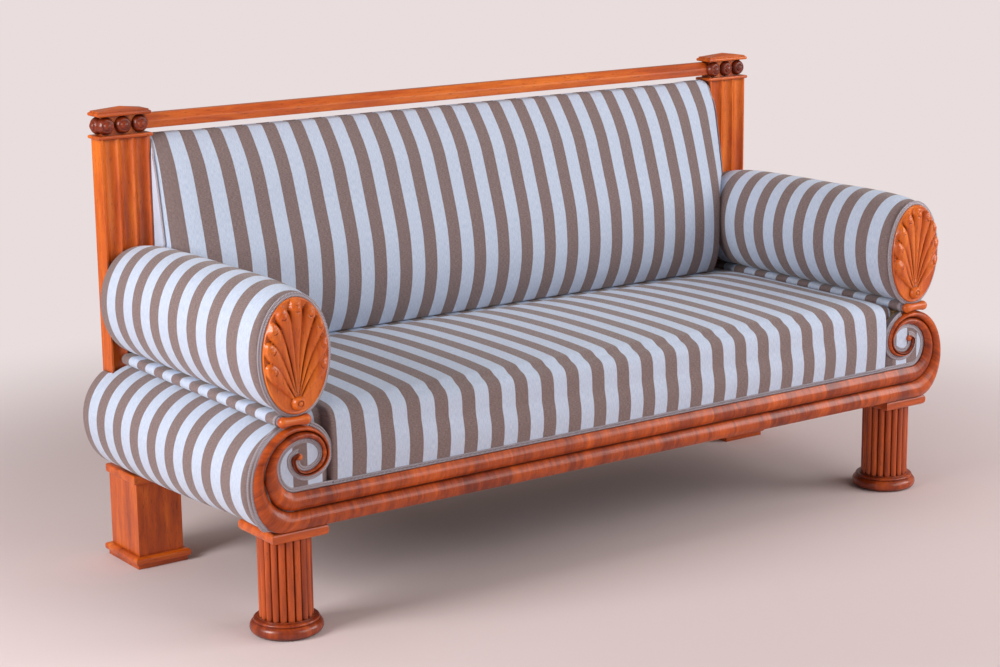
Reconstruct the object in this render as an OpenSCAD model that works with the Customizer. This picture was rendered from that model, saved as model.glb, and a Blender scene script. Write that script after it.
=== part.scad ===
// Upholstered sofa with two scrolled arms under oval bolsters, on reeded columns and square piers.
// Millimetres. X runs along the seat, Y to the back and Z up, with the origin on the floor
// under the middle of the whole.

/* [Overall] */
// Width over the outward swell of the two side rolls
overall_w = 1950; // [1860:5:2150]
// Underside of the seat frame above the floor
leg_h = 234; // [210:1:260]
// Axis of the front columns to the middle of the rear piers
leg_spacing = 601; // [575:1:640]

/* [Front legs] */
// Radius of the column over its reeds
column_r = 56; // [50:0.5:60]
// Reeds around the column
reed_count = 20; // [16:1:24]
// Radius of the foot ring
foot_r = 76; // [70:1:84]
// Height of the foot ring
foot_h = 35; // [30:1:44]
// Width of the abacus along the front
abacus_w = 130; // [122:1:136]
// Depth of the abacus
abacus_d = 140; // [126:1:146]
// Thickness of the abacus
abacus_h = 26; // [20:1:30]

/* [Rear piers] */
// Width of the pier
pier_w = 108; // [98:1:116]
// Depth of the pier
pier_d = 134; // [122:1:144]
// Height of the plinth under the pier
plinth_h = 27; // [22:1:34]
// Overhang of the plinth
plinth_lip = 13; // [9:1:16]
// Thickness of the cap plate on the pier
pier_cap_h = 20; // [16:1:26]
// Overhang of the cap plate
pier_cap_lip = 8; // [4:1:10]
// Height of the pad between the cap plate and the post
pier_pad_h = 20; // [14:1:26]

/* [Scroll front] */
// Eye of the scroll above the underside of the seat frame
scroll_drop = 149; // [142:1:156]
// Height of the front rail and of both its bands together
rail_h = 77; // [70:1:82]
// Height of the lower band
band_h = 39; // [34:1:43]
// Edges of the moulding in front of the column axis
facade_y = 75; // [66:1:80]
// Thickness of the moulding at its edges
moulding_t = 15; // [11:1:20]
// Swell of each band over the edges
band_swell = 11; // [6:0.5:14]
// Radius of the eye of the scroll
eye_r = 8; // [6:0.5:10]

/* [Arms] */
// Outward swell of the side roll from the eye of the scroll
roll_reach = 127; // [120:1:136]
// Thickness of the flat spacer roll between side roll and bolster
spacer_h = 23; // [18:1:28]
// Width of the spacer roll
spacer_w = 74; // [66:1:80]
// Width of the bolster
bolster_w = 186; // [176:1:194]
// Height of the bolster at its front end
bolster_h = 237; // [225:1:250]
// Rise of the bolster's top in the middle of its length
bolster_crown = 19; // [8:1:26]
// Bolster left bare beside the palmette plaque
plaque_side = 19; // [16:0.5:24]
// Bolster left bare above and below the palmette plaque
plaque_end = 1; // [0.5:0.5:8]
// Thickness of the plaque without its relief
plaque_t = 8; // [6:0.5:11]
// Relief of the palmette over the plaque
relief_h = 13; // [9:0.5:16]

/* [Posts] */
// Width of the back post
post_w = 116; // [106:1:124]
// Depth of the back post
post_d = 48; // [42:1:56]
// Height of the back post above the underside of the seat frame
post_h = 712; // [690:2:760]
// Flutes on the front of the post
flute_count = 3; // [2:1:5]
// Depth of a flute
flute_depth = 9; // [6:0.5:11]
// Thickness of the neck plate and of the plate under the pyramid
plate_t = 8; // [6:0.5:11]
// Overhang of the neck plate beyond the post
plate_lip = 7; // [5:0.5:9]
// Height of the capital block
block_h = 41; // [34:0.5:46]
// Rise of the pyramid cap
cap_rise = 11; // [8:0.5:18]
// Height of the top rail
top_rail_h = 32; // [26:0.5:32]

/* [Upholstery] */
// Crown of the seat above the seat rails
seat_rise = 170; // [155:1:185]
// Swell of the back cushion in front of the back frame
back_swell = 129; // [110:1:140]
// Top of the back cushion above the neck of the posts
back_over = -0.5; // [-6:0.5:-0.5]

/* [Frame] */
// Thickness of the front and side seat rails
frame_t = 40; // [32:1:46]
// Depth of the back seat rail
back_rail_d = 68; // [58:1:74]
// Thickness of the back frame
back_frame_t = 35; // [28:1:36]
// Width of the members of the back frame
back_bar_w = 50; // [40:1:60]
// Springs along the seat
spring_cols = 6; // [4:2:6]
// Springs across the seat
spring_rows = 3; // [2:1:3]
// Radius of a spring at its ends
spring_r = 44; // [34:1:48]

/* [Hidden] */

// The two ends of the sofa; everything of the right end is mirrored for the left one
left = -1;
right = 1;
ends = [left, right];

// Air between two pieces that lie against each other, and how far a cut runs past its piece
fit = 0.3;
overrun = 2;

// Steps around an oval, along a quarter turn of the scroll and across one band of the moulding
oval_steps = 32;
quarter_steps = 6;
band_steps = 6;

// Places worked out from the sizes above
eye_x = overall_w / 2 - roll_reach;
eye_z = leg_h + scroll_drop;
rail_top = leg_h + rail_h;
ground_y = -facade_y + moulding_t;
// How far the post stands in front of the pier's back, and pier and post outward of the column
post_inset = 9;
pier_out = 10;
post_out = 12;
post_x = eye_x + post_out;
post_back = leg_spacing + pier_d / 2 - post_inset;
post_front = post_back - post_d;
post_inner = post_x - post_w / 2;
post_top = leg_h + post_h;

// Turning points of the scroll's three edges, outward and up from its eye, as shares of
// scroll_drop: outer side, crown, inner side, and again underside, outer side and crown
outer_shares = [[0.72, -0.335], [0.055, 0.435], [-0.463, -0.005],
                [-0.135, -0.28], [0.13, -0.035], [0, 0.04]];
groove_shares = [[0.54, -0.235], [-0.035, 0.345], [-0.405, 0],
                 [-0.1, -0.245], [0.095, -0.05], [0, 0.02]];
inner_shares = [[0.35, -0.12], [-0.08, 0.245], [-0.37, 0],
                [-0.1, -0.21], [0.055, -0.05], [0, 0.005]];
// Where each edge leaves the straight rail, outward from the eye
outer_start_share = 0.27;
groove_start_share = 0.07;
inner_start_share = 0.07;
// How far the groove between the bands lies behind the edges, and the depth of the joint line
groove_sink_share = 0.25;
joint_in = 40;

// Arm frame, bolster and what lies between them, outward from the eye
arm_side = 14;
upright_t = 27;
arm_rail_w = 40;
arm_rail_h = 36;
crown_z = eye_z + outer_shares[1][1] * scroll_drop;
upright_x = eye_x + arm_side - upright_t;
arm_rail_x = eye_x + arm_side - arm_rail_w;
volute_panel_t = 4;
volute_board_t = 14;
board_back_y = ground_y + volute_panel_t + volute_board_t;
upright_d = 40;
spacer_out = 11;
spacer_overhang = 5;
spacer_front = ground_y - spacer_overhang;
spool_r = spacer_h / 2;
spool_waist_share = 0.76;
bolster_out = 4;
bolster_overhang = 13;
bolster_x = eye_x + bolster_out;
bolster_z = crown_z + spacer_h + 2 * fit;
bolster_front = ground_y - bolster_overhang;
bolster_back = post_front - fit;
bolster_mid_z = bolster_z + bolster_h / 2;
end_board_t = 18;
lath_t = 12;
lath_count = 8;
stuffing_t = 23;
roll_taper = 60;
roll_top_out = arm_side + fit;

// Seat frame and seat
side_rail_x = upright_x - frame_t;
front_rail_back = ground_y + frame_t;
back_rail_front = post_back - back_rail_d;
seat_overhang = 10;
seat_front = ground_y - seat_overhang;
seat_half = arm_rail_x - fit;
seat_back = post_front - fit;
border_lap = 4;
cavity_h = 90;
cavity_x = side_rail_x - border_lap;
cavity_front = front_rail_back - border_lap;
cavity_back = back_rail_front + border_lap;
web_t = 2;
web_w = 55;
cover_t = 2;
wire_r = 2.2;
spring_turns = 3.5;
spring_waist_share = 0.6;
spring_z = leg_h + cover_t + 2 * web_t + 3 * fit;
hessian_t = 3;
hessian_z = rail_top + cavity_h - hessian_t - fit;
side_margin = 60;
spring_pitch = 2 * (side_rail_x - spring_r - side_margin) / (spring_cols - 1);
row_pitch = (back_rail_front - front_rail_back) / spring_rows;
brace_w = 40;
brace_drop = 5;
block_leg = 70;

// Outline of the seat across the sofa, as shares of its depth and of its rise, from the front
// border over the crown to the flat strip under the back cushion
seat_shares = [
    [0, 0], [0, 0.065], [-0.004, 0.29], [-0.004, 0.55], [-0.001, 0.76], [0.009, 0.865],
    [0.032, 0.925], [0.088, 0.96], [0.22, 0.99], [0.43, 1], [0.63, 0.985], [0.78, 0.945],
    [0.87, 0.887], [1, 0.887], [1, 0]];
seat_level_share = 0.887;
// Top of the seat beside the arms: distance in from the seat's side and highest share of its rise
seat_side_shares = [[0, 0.8], [0.017, 0.865], [0.04, 0.91], [0.06, 0.93], [0.1, 0.975], [0.25, 1]];

// Back frame and back cushion
back_z = rail_top + seat_level_share * seat_rise + fit;
back_top = post_top + back_over;
back_half = post_inner - fit;
head_drop = 23;
back_inset = 4;
back_frame_top = post_top - head_drop;
back_plane = post_front + back_inset;
cushion_plane = back_plane - fit;
stile_x = spring_pitch;
back_web_rows = 3;
middle_straps = 5;
end_straps = 4;
cloth_t = 2;
top_round = 10;
seat_shoulder = 7;
gimp_r = 2.4;
gimp_pitch_share = 1.9;
// Outline of the cushion's front from the top down: shares of its swell and height, how much of
// the swell the drawn-in sides keep there, and 1 where the bolster presses it back to the posts
back_shares = [
    [-0.08, 0.996, 0, 0], [0.09, 0.947, 0, 0], [0.33, 0.86, 0, 0], [0.54, 0.737, 0, 0], [0.705, 0.62, 0, 0],
    [0.845, 0.509, 0, 1], [0.96, 0.384, 0, 1], [1, 0.24, 0.1, 1], [0.905, 0.11, 0.4, 1], [0.605, 0, 1, 1]];
// Across the cushion: shares of its half width and of the swell there, up to the bolster and beyond
back_mid_shares = [[0, 1], [0.5, 1], [0.78, 0.98], [0.88, 0.9], [0.92, 0.8]];
back_edge_shares = [[0.966, 0.7], [1, 0.5]];
bolster_inner = bolster_x - bolster_w / 2 - fit;
pocket_wall = 4;
pocket_rake = 1;

// Plaque
plaque_w = bolster_w - 2 * plaque_side;
plaque_h = bolster_h - 2 * plaque_end;
// Edge of the plaque: distance in from its rim and height, as shares of its thickness
plaque_edge_shares = [[0, 0], [0, 0.7], [0.25, 0.95], [0.8, 1]];
// Tips of the palmette's lobes as shares of the plaque's half width and height, the middle one
// first, and the point towards which each lobe leaves the button
tip_shares = [[0, 0.88], [0.43, 0.76], [0.73, 0.53], [0.82, 0.19], [0.78, -0.17]];
bend_shares = [[0, 0.2], [0.12, 0.25], [0.3, 0.1], [0.33, -0.28], [0.34, -0.58]];
button_z_share = -0.8;
button_r = 15;
lobe_w_share = 0.19;
// Along a lobe: place, share of its widest half width
lobe_shares = [[0.1, 0.16], [0.3, 0.36], [0.5, 0.58], [0.7, 0.82], [0.85, 1], [0.94, 0.9], [1, 0.5]];
lobe_arc = [0, 30, 60, 90, 120, 150, 180];
plaque_sink = plaque_t / 2;

// Capital and top rail
block_in = 15;
block_w = post_w + 2 * plate_lip - 2 * block_in;
block_setback = 11;
block_rear = 4;
block_front = post_front + block_setback;
block_back = post_back - block_rear;
ball_r = block_h / 2 - fit;
ball_sink = 3;
ball_gap = 0.5;
rail_setback = 1;
rail_rear = 5;
rail_front = block_front + rail_setback;
rail_arris_share = 0.5;
rail_bevel = 11;
rail_back = block_back - rail_rear;
rail_lip = 2;
top_rail_drop = 2;
capital_lip = 3;
ball_count = 3;
cap_inset = 4;
cap_edge = 3;

// The part is drawn from the axis of the front columns and moved so that the origin is in its middle
front_reach = -bolster_front + fit + plaque_t + max(relief_h, button_r);
rear_reach = leg_spacing + pier_d / 2 + plinth_lip;
leg_y = (front_reach - rear_reach) / 2;

cherry = "#c0582a";
pale_wood = "#c79a63";
stripe_cloth = "#a9b6c6";
braid_grey = "#8a8a9c";
linen = "#cdbf9f";
steel = "#8d9196";

module placed() {
    translate([0, leg_y, 0])
        children();
}

module at_end(side) {
    mirror([side < 0 ? 1 : 0, 0, 0])
        children();
}

// A box from its lowest to its highest corner
module block(low, high) {
    translate(low)
        cube(high - low);
}

// An outline in X and Z, given its thickness along Y from y0 to y1
module along_y(y0, y1) {
    translate([0, y1, 0])
        rotate([90, 0, 0])
            linear_extrude(height = y1 - y0)
                children();
}

// An outline in Y and Z, given its length along X from x0 to x1
module along_x(x0, x1) {
    translate([x0, 0, 0])
        rotate([90, 0, 90])
            linear_extrude(height = x1 - x0)
                children();
}

// A closed skin over rings of points; rings turn clockwise seen from the last one
module skin(rings) {
    n = len(rings[0]);
    last = len(rings) - 1;
    polyhedron(
        points = [for (ring = rings) each ring],
        faces = concat(
            [[for (i = [0:n - 1]) i]],
            [for (k = [0:last - 1]) for (i = [0:n - 1]) let (a = k * n + i, b = k * n + (i + 1) % n)
                each [[a, a + n, b], [b, a + n, b + n]]],
            [[for (i = [n - 1:-1:0]) last * n + i]]),
        convexity = 8);
}

// A closed tube between two sets of rings with the same number of points
module sleeve(outer_rings, inner_rings) {
    n = len(outer_rings[0]);
    rows = len(outer_rings);
    hole = rows * n;
    last = (rows - 1) * n;
    polyhedron(
        points = concat([for (ring = outer_rings) each ring], [for (ring = inner_rings) each ring]),
        faces = concat(
            [for (k = [0:rows - 2]) for (i = [0:n - 1]) let (a = k * n + i, b = k * n + (i + 1) % n)
                each [[a, a + n, b], [b, a + n, b + n]]],
            [for (k = [0:rows - 2]) for (i = [0:n - 1])
                let (a = hole + k * n + i, b = hole + k * n + (i + 1) % n)
                each [[a, b, a + n], [b, b + n, a + n]]],
            [for (i = [0:n - 1]) let (j = (i + 1) % n) each [[i, j, hole + i], [j, hole + j, hole + i]]],
            [for (i = [0:n - 1]) let (j = (i + 1) % n)
                each [[last + i, hole + last + i, last + j],
                      [last + j, hole + last + i, hole + last + j]]]),
        convexity = 8);
}

// Points around an oval with half sizes a and b
function oval(a, b, n = oval_steps) = [for (i = [0:n - 1]) [a * cos(360 * i / n), b * sin(360 * i / n)]];

// A flat plate with rounded edges all round, its corner at the origin
module nosed_plate(w, d, h, nose_r) {
    intersection() {
        translate([0, d, 0])
            rotate([90, 0, 0])
                linear_extrude(height = d)
                    nosed_outline(w, h, nose_r);
        rotate([90, 0, 90])
            linear_extrude(height = w)
                nosed_outline(d, h, nose_r);
    }
}

module nosed_outline(w, h, nose_r) {
    translate([nose_r, 0])
        square([w - 2 * nose_r, h]);
    translate([0, nose_r])
        square([w, h - 2 * nose_r]);
    for (x = [nose_r, w - nose_r])
        for (y = [nose_r, h - nose_r])
            translate([x, y])
                circle(r = nose_r, $fn = 32);
}

reed_share = 0.14;
reed_r = reed_share * column_r;

module front_leg_column(side) {
    color(cherry)
        placed()
            at_end(side)
                translate([eye_x, 0, foot_h])
                    linear_extrude(height = leg_h - abacus_h - foot_h)
                        reeded_outline();
}

module reeded_outline() {
    circle(r = column_r - reed_r, $fn = 64);
    for (i = [0:reed_count - 1])
        rotate(360 * i / reed_count)
            translate([column_r - reed_r, 0])
                circle(r = reed_r, $fn = 32);
}

foot_bead_share = 0.39;
foot_rim_share = 0.09;
foot_rim_in = 8;
foot_rim_sink = 1;
foot_fillet = 3;

// A thick ring that lies on the floor, a thin rim over it and a fillet around the reeds
module front_foot_ring(side) {
    bead_r = foot_h * foot_bead_share;
    rim_r = foot_h * foot_rim_share;
    rim_x = foot_r - foot_rim_in - rim_r;
    rim_z = 2 * bead_r + rim_r - foot_rim_sink;
    color(cherry)
        placed()
            at_end(side)
                translate([eye_x, 0, 0])
                    rotate_extrude($fn = 96) {
                        square([foot_r - bead_r, 2 * bead_r]);
                        translate([foot_r - bead_r, bead_r])
                            circle(r = bead_r, $fn = 32);
                        square([rim_x, rim_z + rim_r]);
                        translate([rim_x, rim_z])
                            circle(r = rim_r, $fn = 24);
                        square([column_r + foot_fillet, foot_h]);
                    }
}

nose_share = 0.4;

module front_abacus(side) {
    color(cherry)
        placed()
            at_end(side)
                translate([eye_x - abacus_w / 2, -abacus_d / 2, leg_h - abacus_h])
                    nosed_plate(abacus_w, abacus_d, abacus_h, nose_share * abacus_h);
}

module rear_pier(side) {
    color(cherry)
        placed()
            at_end(side)
                translate([eye_x + pier_out - pier_w / 2, leg_spacing - pier_d / 2, plinth_h])
                    cube([pier_w, pier_d, leg_h - pier_pad_h - pier_cap_h - plinth_h]);
}

plinth_fillet_share = 0.35;

module rear_plinth(side) {
    fillet_h = plinth_h * plinth_fillet_share;
    band = plinth_h - fillet_h;
    step = plinth_lip / 2;
    color(cherry)
        placed()
            at_end(side)
                translate([eye_x + pier_out - pier_w / 2, leg_spacing - pier_d / 2, 0]) {
                    translate([-step, -step, 0])
                        cube([pier_w + 2 * step, pier_d + 2 * step, fillet_h]);
                    translate([-plinth_lip, -plinth_lip, fillet_h])
                        nosed_plate(pier_w + 2 * plinth_lip, pier_d + 2 * plinth_lip,
                                    band, nose_share * band);
                }
}

// The cap plate and the pad that carries the post and the arm frame on it
module rear_pier_cap(side) {
    inner_x = eye_x + pier_out - pier_w / 2;
    pad_z = leg_h - pier_pad_h;
    color(cherry)
        placed()
            at_end(side) {
                translate([inner_x - pier_cap_lip, leg_spacing - pier_d / 2 - pier_cap_lip,
                           pad_z - pier_cap_h])
                    nosed_plate(pier_w + 2 * pier_cap_lip, pier_d + pier_cap_lip, pier_cap_h,
                                nose_share * pier_cap_h / 2);
                block([inner_x, leg_spacing - pier_d / 2, pad_z - overrun],
                      [eye_x + arm_side, leg_spacing + pier_d / 2, leg_h]);
            }
}

module front_seat_rail() {
    color(pale_wood)
        placed()
            block([-upright_x, ground_y, leg_h], [upright_x, front_rail_back, rail_top]);
}

module back_seat_rail() {
    color(pale_wood)
        placed()
            block([-back_half, back_rail_front, leg_h], [back_half, post_back, rail_top]);
}

module side_seat_rail(side) {
    color(pale_wood)
        placed()
            at_end(side)
                block([side_rail_x, front_rail_back, leg_h], [upright_x, back_rail_front, rail_top]);
}

module seat_braces() {
    color(pale_wood)
        placed()
            for (side = ends)
                at_end(side)
                    block([spring_pitch - brace_w / 2, front_rail_back, spring_z],
                          [spring_pitch + brace_w / 2, back_rail_front, rail_top - brace_drop]);
}

module corner_blocks() {
    color(pale_wood)
        placed()
            for (side = ends)
                at_end(side)
                    translate([side_rail_x, 0, spring_z])
                        linear_extrude(height = rail_top - brace_drop - spring_z) {
                            polygon([[0, front_rail_back], [0, front_rail_back + block_leg],
                                     [-block_leg, front_rail_back]]);
                            polygon([[0, back_rail_front], [-block_leg, back_rail_front],
                                     [0, back_rail_front - block_leg]]);
                        }
}

// Straps of webbing from x0 to x1 and y0 to y1, lying at z: one set along X under one along Y
module webbing(x0, x1, y0, y1, z, cols, rows) {
    for (i = [0:cols - 1])
        translate([x0 + (i + 0.5) * (x1 - x0) / cols - web_w / 2, y0, z + web_t])
            cube([web_w, y1 - y0, web_t]);
    for (i = [0:rows - 1])
        translate([x0, y0 + (i + 0.5) * (y1 - y0) / rows - web_w / 2, z])
            cube([x1 - x0, web_w, web_t]);
}

seat_web_cols = 12;
seat_web_rows = 6;

module seat_webbing() {
    color(linen)
        placed()
            webbing(-side_rail_x + fit, side_rail_x - fit, front_rail_back + fit, back_rail_front - fit,
                    leg_h + cover_t + fit, seat_web_cols, seat_web_rows);
}

module dust_cover() {
    color("#2e2c2c")
        placed()
            block([-side_rail_x + fit, front_rail_back + fit, leg_h],
                  [side_rail_x - fit, back_rail_front - fit, leg_h + cover_t]);
}

wire_sides = 4;
turn_steps = 8;

// One waisted coil from z0 to z1, with its end turns lying flat
module coil(z0, z1) {
    n = spring_turns * turn_steps;
    rise = z1 - z0 - 2 * wire_r;
    function coil_radius(t) = spring_r * (1 - (1 - spring_waist_share) * sin(180 * t)) - wire_r;
    skin([for (i = [0:n]) let (t = i / n, turn = 360 * i / turn_steps, lift = (1 - cos(180 * t)) / 2)
        [for (k = [0:wire_sides - 1]) let (a = -360 * k / wire_sides, r = coil_radius(t) + wire_r * cos(a))
            [r * cos(turn), r * sin(turn), z0 + wire_r + rise * lift + wire_r * sin(a)]]]);
}

module seat_springs() {
    color(steel)
        placed()
            for (i = [0:spring_cols - 1])
                for (j = [0:spring_rows - 1])
                    translate([(i - (spring_cols - 1) / 2) * spring_pitch,
                               front_rail_back + (j + 0.5) * row_pitch, 0])
                        coil(spring_z, hessian_z);
}

module spring_hessian() {
    color(linen)
        placed()
            block([-cavity_x, cavity_front, hessian_z], [cavity_x, cavity_back, hessian_z + hessian_t]);
}

// Depth of the moulding's face across one band, u from its edge to the groove
function band_y(u, size) = -facade_y + groove_sink_share * band_swell * size * u
    - band_swell * size * sin(180 * u);

// The moulding's section between three points of its edges, as [outward, Y, up] points
function moulding_section(outer, groove, inner) =
    let (size_a = sqrt(norm(groove - outer) / band_h),
         size_b = sqrt(norm(inner - groove) / (rail_h - band_h)))
    concat(
        [[inner[0], ground_y, inner[1]]],
        [for (i = [band_steps:-1:1]) let (u = i / band_steps, p = groove + (inner - groove) * u)
            [p[0], band_y(1 - u, size_b), p[1]]],
        [for (i = [band_steps:-1:0]) let (u = i / band_steps, p = outer + (groove - outer) * u)
            [p[0], band_y(u, size_a), p[1]]],
        [[outer[0], ground_y, outer[1]]]);

// All turning points of one edge, from the straight rail to the eye
function edge_turns(start_share, start_z, shares) =
    concat([[start_share * scroll_drop, start_z - scroll_drop]], scroll_drop * shares);

outer_turns = edge_turns(outer_start_share, 0, outer_shares);
groove_turns = edge_turns(groove_start_share, band_h, groove_shares);
inner_turns = edge_turns(inner_start_share, rail_h, inner_shares);

// A point on quarter k of an edge, an oval quarter between two turning points
function on_turn(turns, k, a) = let (p = turns[k], q = turns[k + 1])
    k % 2 == 0
        ? [p[0] + (q[0] - p[0]) * sin(a), q[1] + (p[1] - q[1]) * cos(a)]
        : [q[0] + (p[0] - q[0]) * cos(a), p[1] + (q[1] - p[1]) * sin(a)];

function edge_run(turns, first, last) = concat(
    [for (k = [first:last]) for (i = [0:quarter_steps - 1]) on_turn(turns, k, 90 * i / quarter_steps)],
    [turns[last + 1]]);

function straight_section() = moulding_section(
    [-joint_in, -scroll_drop], [-joint_in, band_h - scroll_drop], [-joint_in, rail_h - scroll_drop]);

module front_rail_moulding() {
    color(cherry)
        placed()
            along_x(-eye_x + joint_in, eye_x - joint_in)
                polygon([for (p = straight_section()) [p[1], eye_z + p[2]]]);
}

module scroll_moulding(side) {
    outer_edge = edge_run(outer_turns, 0, 5);
    groove_edge = edge_run(groove_turns, 0, 5);
    inner_edge = edge_run(inner_turns, 0, 5);
    color(cherry)
        placed()
            at_end(side)
                translate([eye_x, 0, eye_z]) {
                    skin(concat(
                        [straight_section()],
                        [for (i = [0:len(outer_edge) - 1])
                            moulding_section(outer_edge[i], groove_edge[i], inner_edge[i])]));
                    eye_boss();
                }
}

boss_sides = 20;
boss_rise = 7;
// The eye's button from its foot up: shares of its radius and of its height
boss_shares = [[1, 0], [1, 0.78], [0.9, 0.89], [0.66, 0.97], [0.3, 1]];

// A button with a domed head, higher than the moulding by boss_rise
module eye_boss() {
    boss_h = moulding_t + boss_rise;
    skin([for (row = boss_shares) let (r = row[0] * eye_r, y = ground_y - row[1] * boss_h)
        [for (p = oval(r, r, boss_sides)) [p[0], y, p[1]]]]);
}

// What the scroll covers, from its underside up over its crown and down to the rail
function volute_outline(margin) = concat(
    [[upright_x - eye_x + margin, -scroll_drop]],
    edge_run(outer_turns, 0, 2),
    [[outer_turns[3][0], rail_h - scroll_drop + margin],
     [upright_x - eye_x + margin, rail_h - scroll_drop + margin]]);

module volute_panel(side) {
    color(stripe_cloth)
        placed()
            at_end(side)
                translate([eye_x, 0, eye_z])
                    along_y(ground_y, ground_y + volute_panel_t)
                        polygon(volute_outline(fit));
}

module volute_board(side) {
    color(pale_wood)
        placed()
            at_end(side)
                translate([eye_x, 0, eye_z])
                    along_y(ground_y + volute_panel_t, board_back_y)
                        polygon(volute_outline(fit));
}

module arm_uprights() {
    span = bolster_back - upright_d - board_back_y - fit;
    color(pale_wood)
        placed()
            for (side = ends)
                at_end(side)
                    for (share = [0, 0.5, 1])
                        translate([upright_x, board_back_y + fit + share * span, leg_h])
                            cube([upright_t, upright_d, crown_z - arm_rail_h - leg_h]);
}

module arm_rail(side) {
    color(pale_wood)
        placed()
            at_end(side)
                block([arm_rail_x, board_back_y + fit, crown_z - arm_rail_h],
                      [arm_rail_x + arm_rail_w, bolster_back, crown_z]);
}

roll_steps = 8;
// Along the side roll: place as a share of roll_taper behind its front, and share of its swell there
roll_front_shares = [[0, 0.1], [0.3, 0.62], [0.65, 0.9], [1, 1]];

// Outline of the side roll when it swells out to reach from the eye
function roll_outline(reach) =
    let (turns = [[roll_top_out, crown_z - eye_z], [reach, outer_turns[1][1]], outer_turns[0]])
    concat(
        [for (i = [0:roll_steps]) let (a = 90 * i / roll_steps, p = turns[0], q = turns[1])
            [p[0] + (q[0] - p[0]) * sin(a), q[1] + (p[1] - q[1]) * cos(a)]],
        [for (i = [1:roll_steps]) let (a = 90 * i / roll_steps, p = turns[1], q = turns[2])
            [q[0] + (p[0] - q[0]) * cos(a), p[1] + (q[1] - p[1]) * sin(a)]],
        [[roll_top_out, -scroll_drop]]);

function roll_ring(y, reach) = [for (p = roll_outline(reach)) [p[0], y, p[1]]];

module side_roll(side) {
    front = board_back_y + fit;
    drawn_in = outer_turns[1][0];
    swell = roll_reach - drawn_in;
    color(stripe_cloth)
        placed()
            at_end(side)
                difference() {
                    translate([eye_x, 0, eye_z])
                        skin(concat(
                            [for (row = roll_front_shares)
                                roll_ring(front + row[0] * roll_taper, drawn_in + row[1] * swell)],
                            [roll_ring(post_back - overrun, roll_reach),
                             roll_ring(post_back, roll_reach - overrun)]));
                    block([upright_x, post_front - fit, leg_h - overrun],
                          [post_x + post_w / 2 + fit, post_back + overrun, crown_z + overrun]);
                }
}

module arm_spacer_roll(side) {
    color(stripe_cloth)
        placed()
            at_end(side)
                translate([eye_x + spacer_out, 0, crown_z + fit])
                    along_y(spacer_front, bolster_back) {
                        translate([-spacer_w / 2 + spool_r, 0])
                            square([spacer_w - 2 * spool_r, spacer_h]);
                        for (x = [-spacer_w / 2 + spool_r, spacer_w / 2 - spool_r])
                            translate([x, spool_r])
                                circle(r = spool_r, $fn = 32);
                    }
}

spool_steps = 6;

// Half outline of the spool: a ball end that runs into a long hollow waist
module spool_outline() {
    half = spacer_w / 2;
    neck = half - spool_r;
    ball = [for (i = [0:spool_steps]) let (a = 90 * i / spool_steps)
        [spool_r * sin(a), half - spool_r + spool_r * cos(a)]];
    waist = [for (i = [1:spool_steps]) let (t = 1 - i / spool_steps)
        [spool_r * (spool_waist_share + (1 - spool_waist_share) * t * t), neck * t]];
    top = concat(ball, waist);
    polygon(concat(top, [for (i = [len(top) - 2:-1:0]) [top[i][0], -top[i][1]]]));
}

module arm_spool(side) {
    color(cherry)
        placed()
            at_end(side)
                translate([eye_x + spacer_out, spacer_front - fit - spool_r, crown_z + fit + spool_r])
                    rotate([0, 90, 0])
                        rotate_extrude($fn = 64)
                            spool_outline();
}

function cavity_half() = [bolster_w / 2 - stuffing_t, bolster_h / 2 - stuffing_t / 2];

module oval_plate(half, y0, y1) {
    translate([bolster_x, 0, bolster_mid_z])
        along_y(y0, y1)
            polygon(oval(half[0], half[1]));
}

module arm_end_boards() {
    half = cavity_half() - [fit, fit];
    color(pale_wood)
        placed()
            for (side = ends)
                at_end(side) {
                    oval_plate(half, bolster_front, bolster_front + end_board_t);
                    oval_plate(half, bolster_back - end_board_t, bolster_back);
                }
}

// Laths between the two end boards, each the part of an oval wall between two of its rays
module arm_laths() {
    half = cavity_half() - [fit, fit];
    inner = half - [lath_t, lath_t];
    wide = oval_steps / lath_count / 2;
    rim = oval(half[0], half[1]);
    core = oval(inner[0], inner[1]);
    color(pale_wood)
        placed()
            for (side = ends)
                at_end(side)
                    translate([bolster_x, 0, bolster_mid_z])
                        along_y(bolster_front + end_board_t, bolster_back - end_board_t)
                            for (k = [0:lath_count - 1])
                                let (first = k * oval_steps / lath_count)
                                    polygon(concat([for (i = [0:wide]) rim[(first + i) % oval_steps]],
                                                   [for (i = [wide:-1:0]) core[(first + i) % oval_steps]]));
}

// Along the bolster: place as a share of its length, share of its half width, share of its crown
bolster_shares = [[0, 0.85, 0], [0.012, 0.91, 0.2], [0.04, 0.965, 0.5], [0.1, 0.99, 0.8], [0.25, 1, 1],
                  [0.55, 1, 1], [0.82, 1, 0.8], [0.95, 0.995, 0.3], [1, 0.98, -0.15]];

function bolster_ring(row) =
    let (top = bolster_h + row[2] * bolster_crown,
         y = bolster_front + row[0] * (bolster_back - bolster_front))
    [for (p = oval(row[1] * bolster_w / 2, top / 2)) [p[0], y, (top - bolster_h) / 2 - p[1]]];

module arm_bolster(side) {
    core = cavity_half();
    color(stripe_cloth)
        placed()
            at_end(side)
                translate([bolster_x, 0, bolster_mid_z])
                    sleeve(
                        [for (row = bolster_shares) bolster_ring(row)],
                        [for (row = bolster_shares)
                            let (y = bolster_front + row[0] * (bolster_back - bolster_front))
                            [for (p = oval(core[0], core[1])) [p[0], y, -p[1]]]]);
}

function bend_point(p, q, r, t) = (1 - t) * (1 - t) * p + 2 * t * (1 - t) * q + t * t * r;
function bend_way(p, q, r, t) = let (d = (1 - t) * (q - p) + t * (r - q)) d / norm(d);

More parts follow.
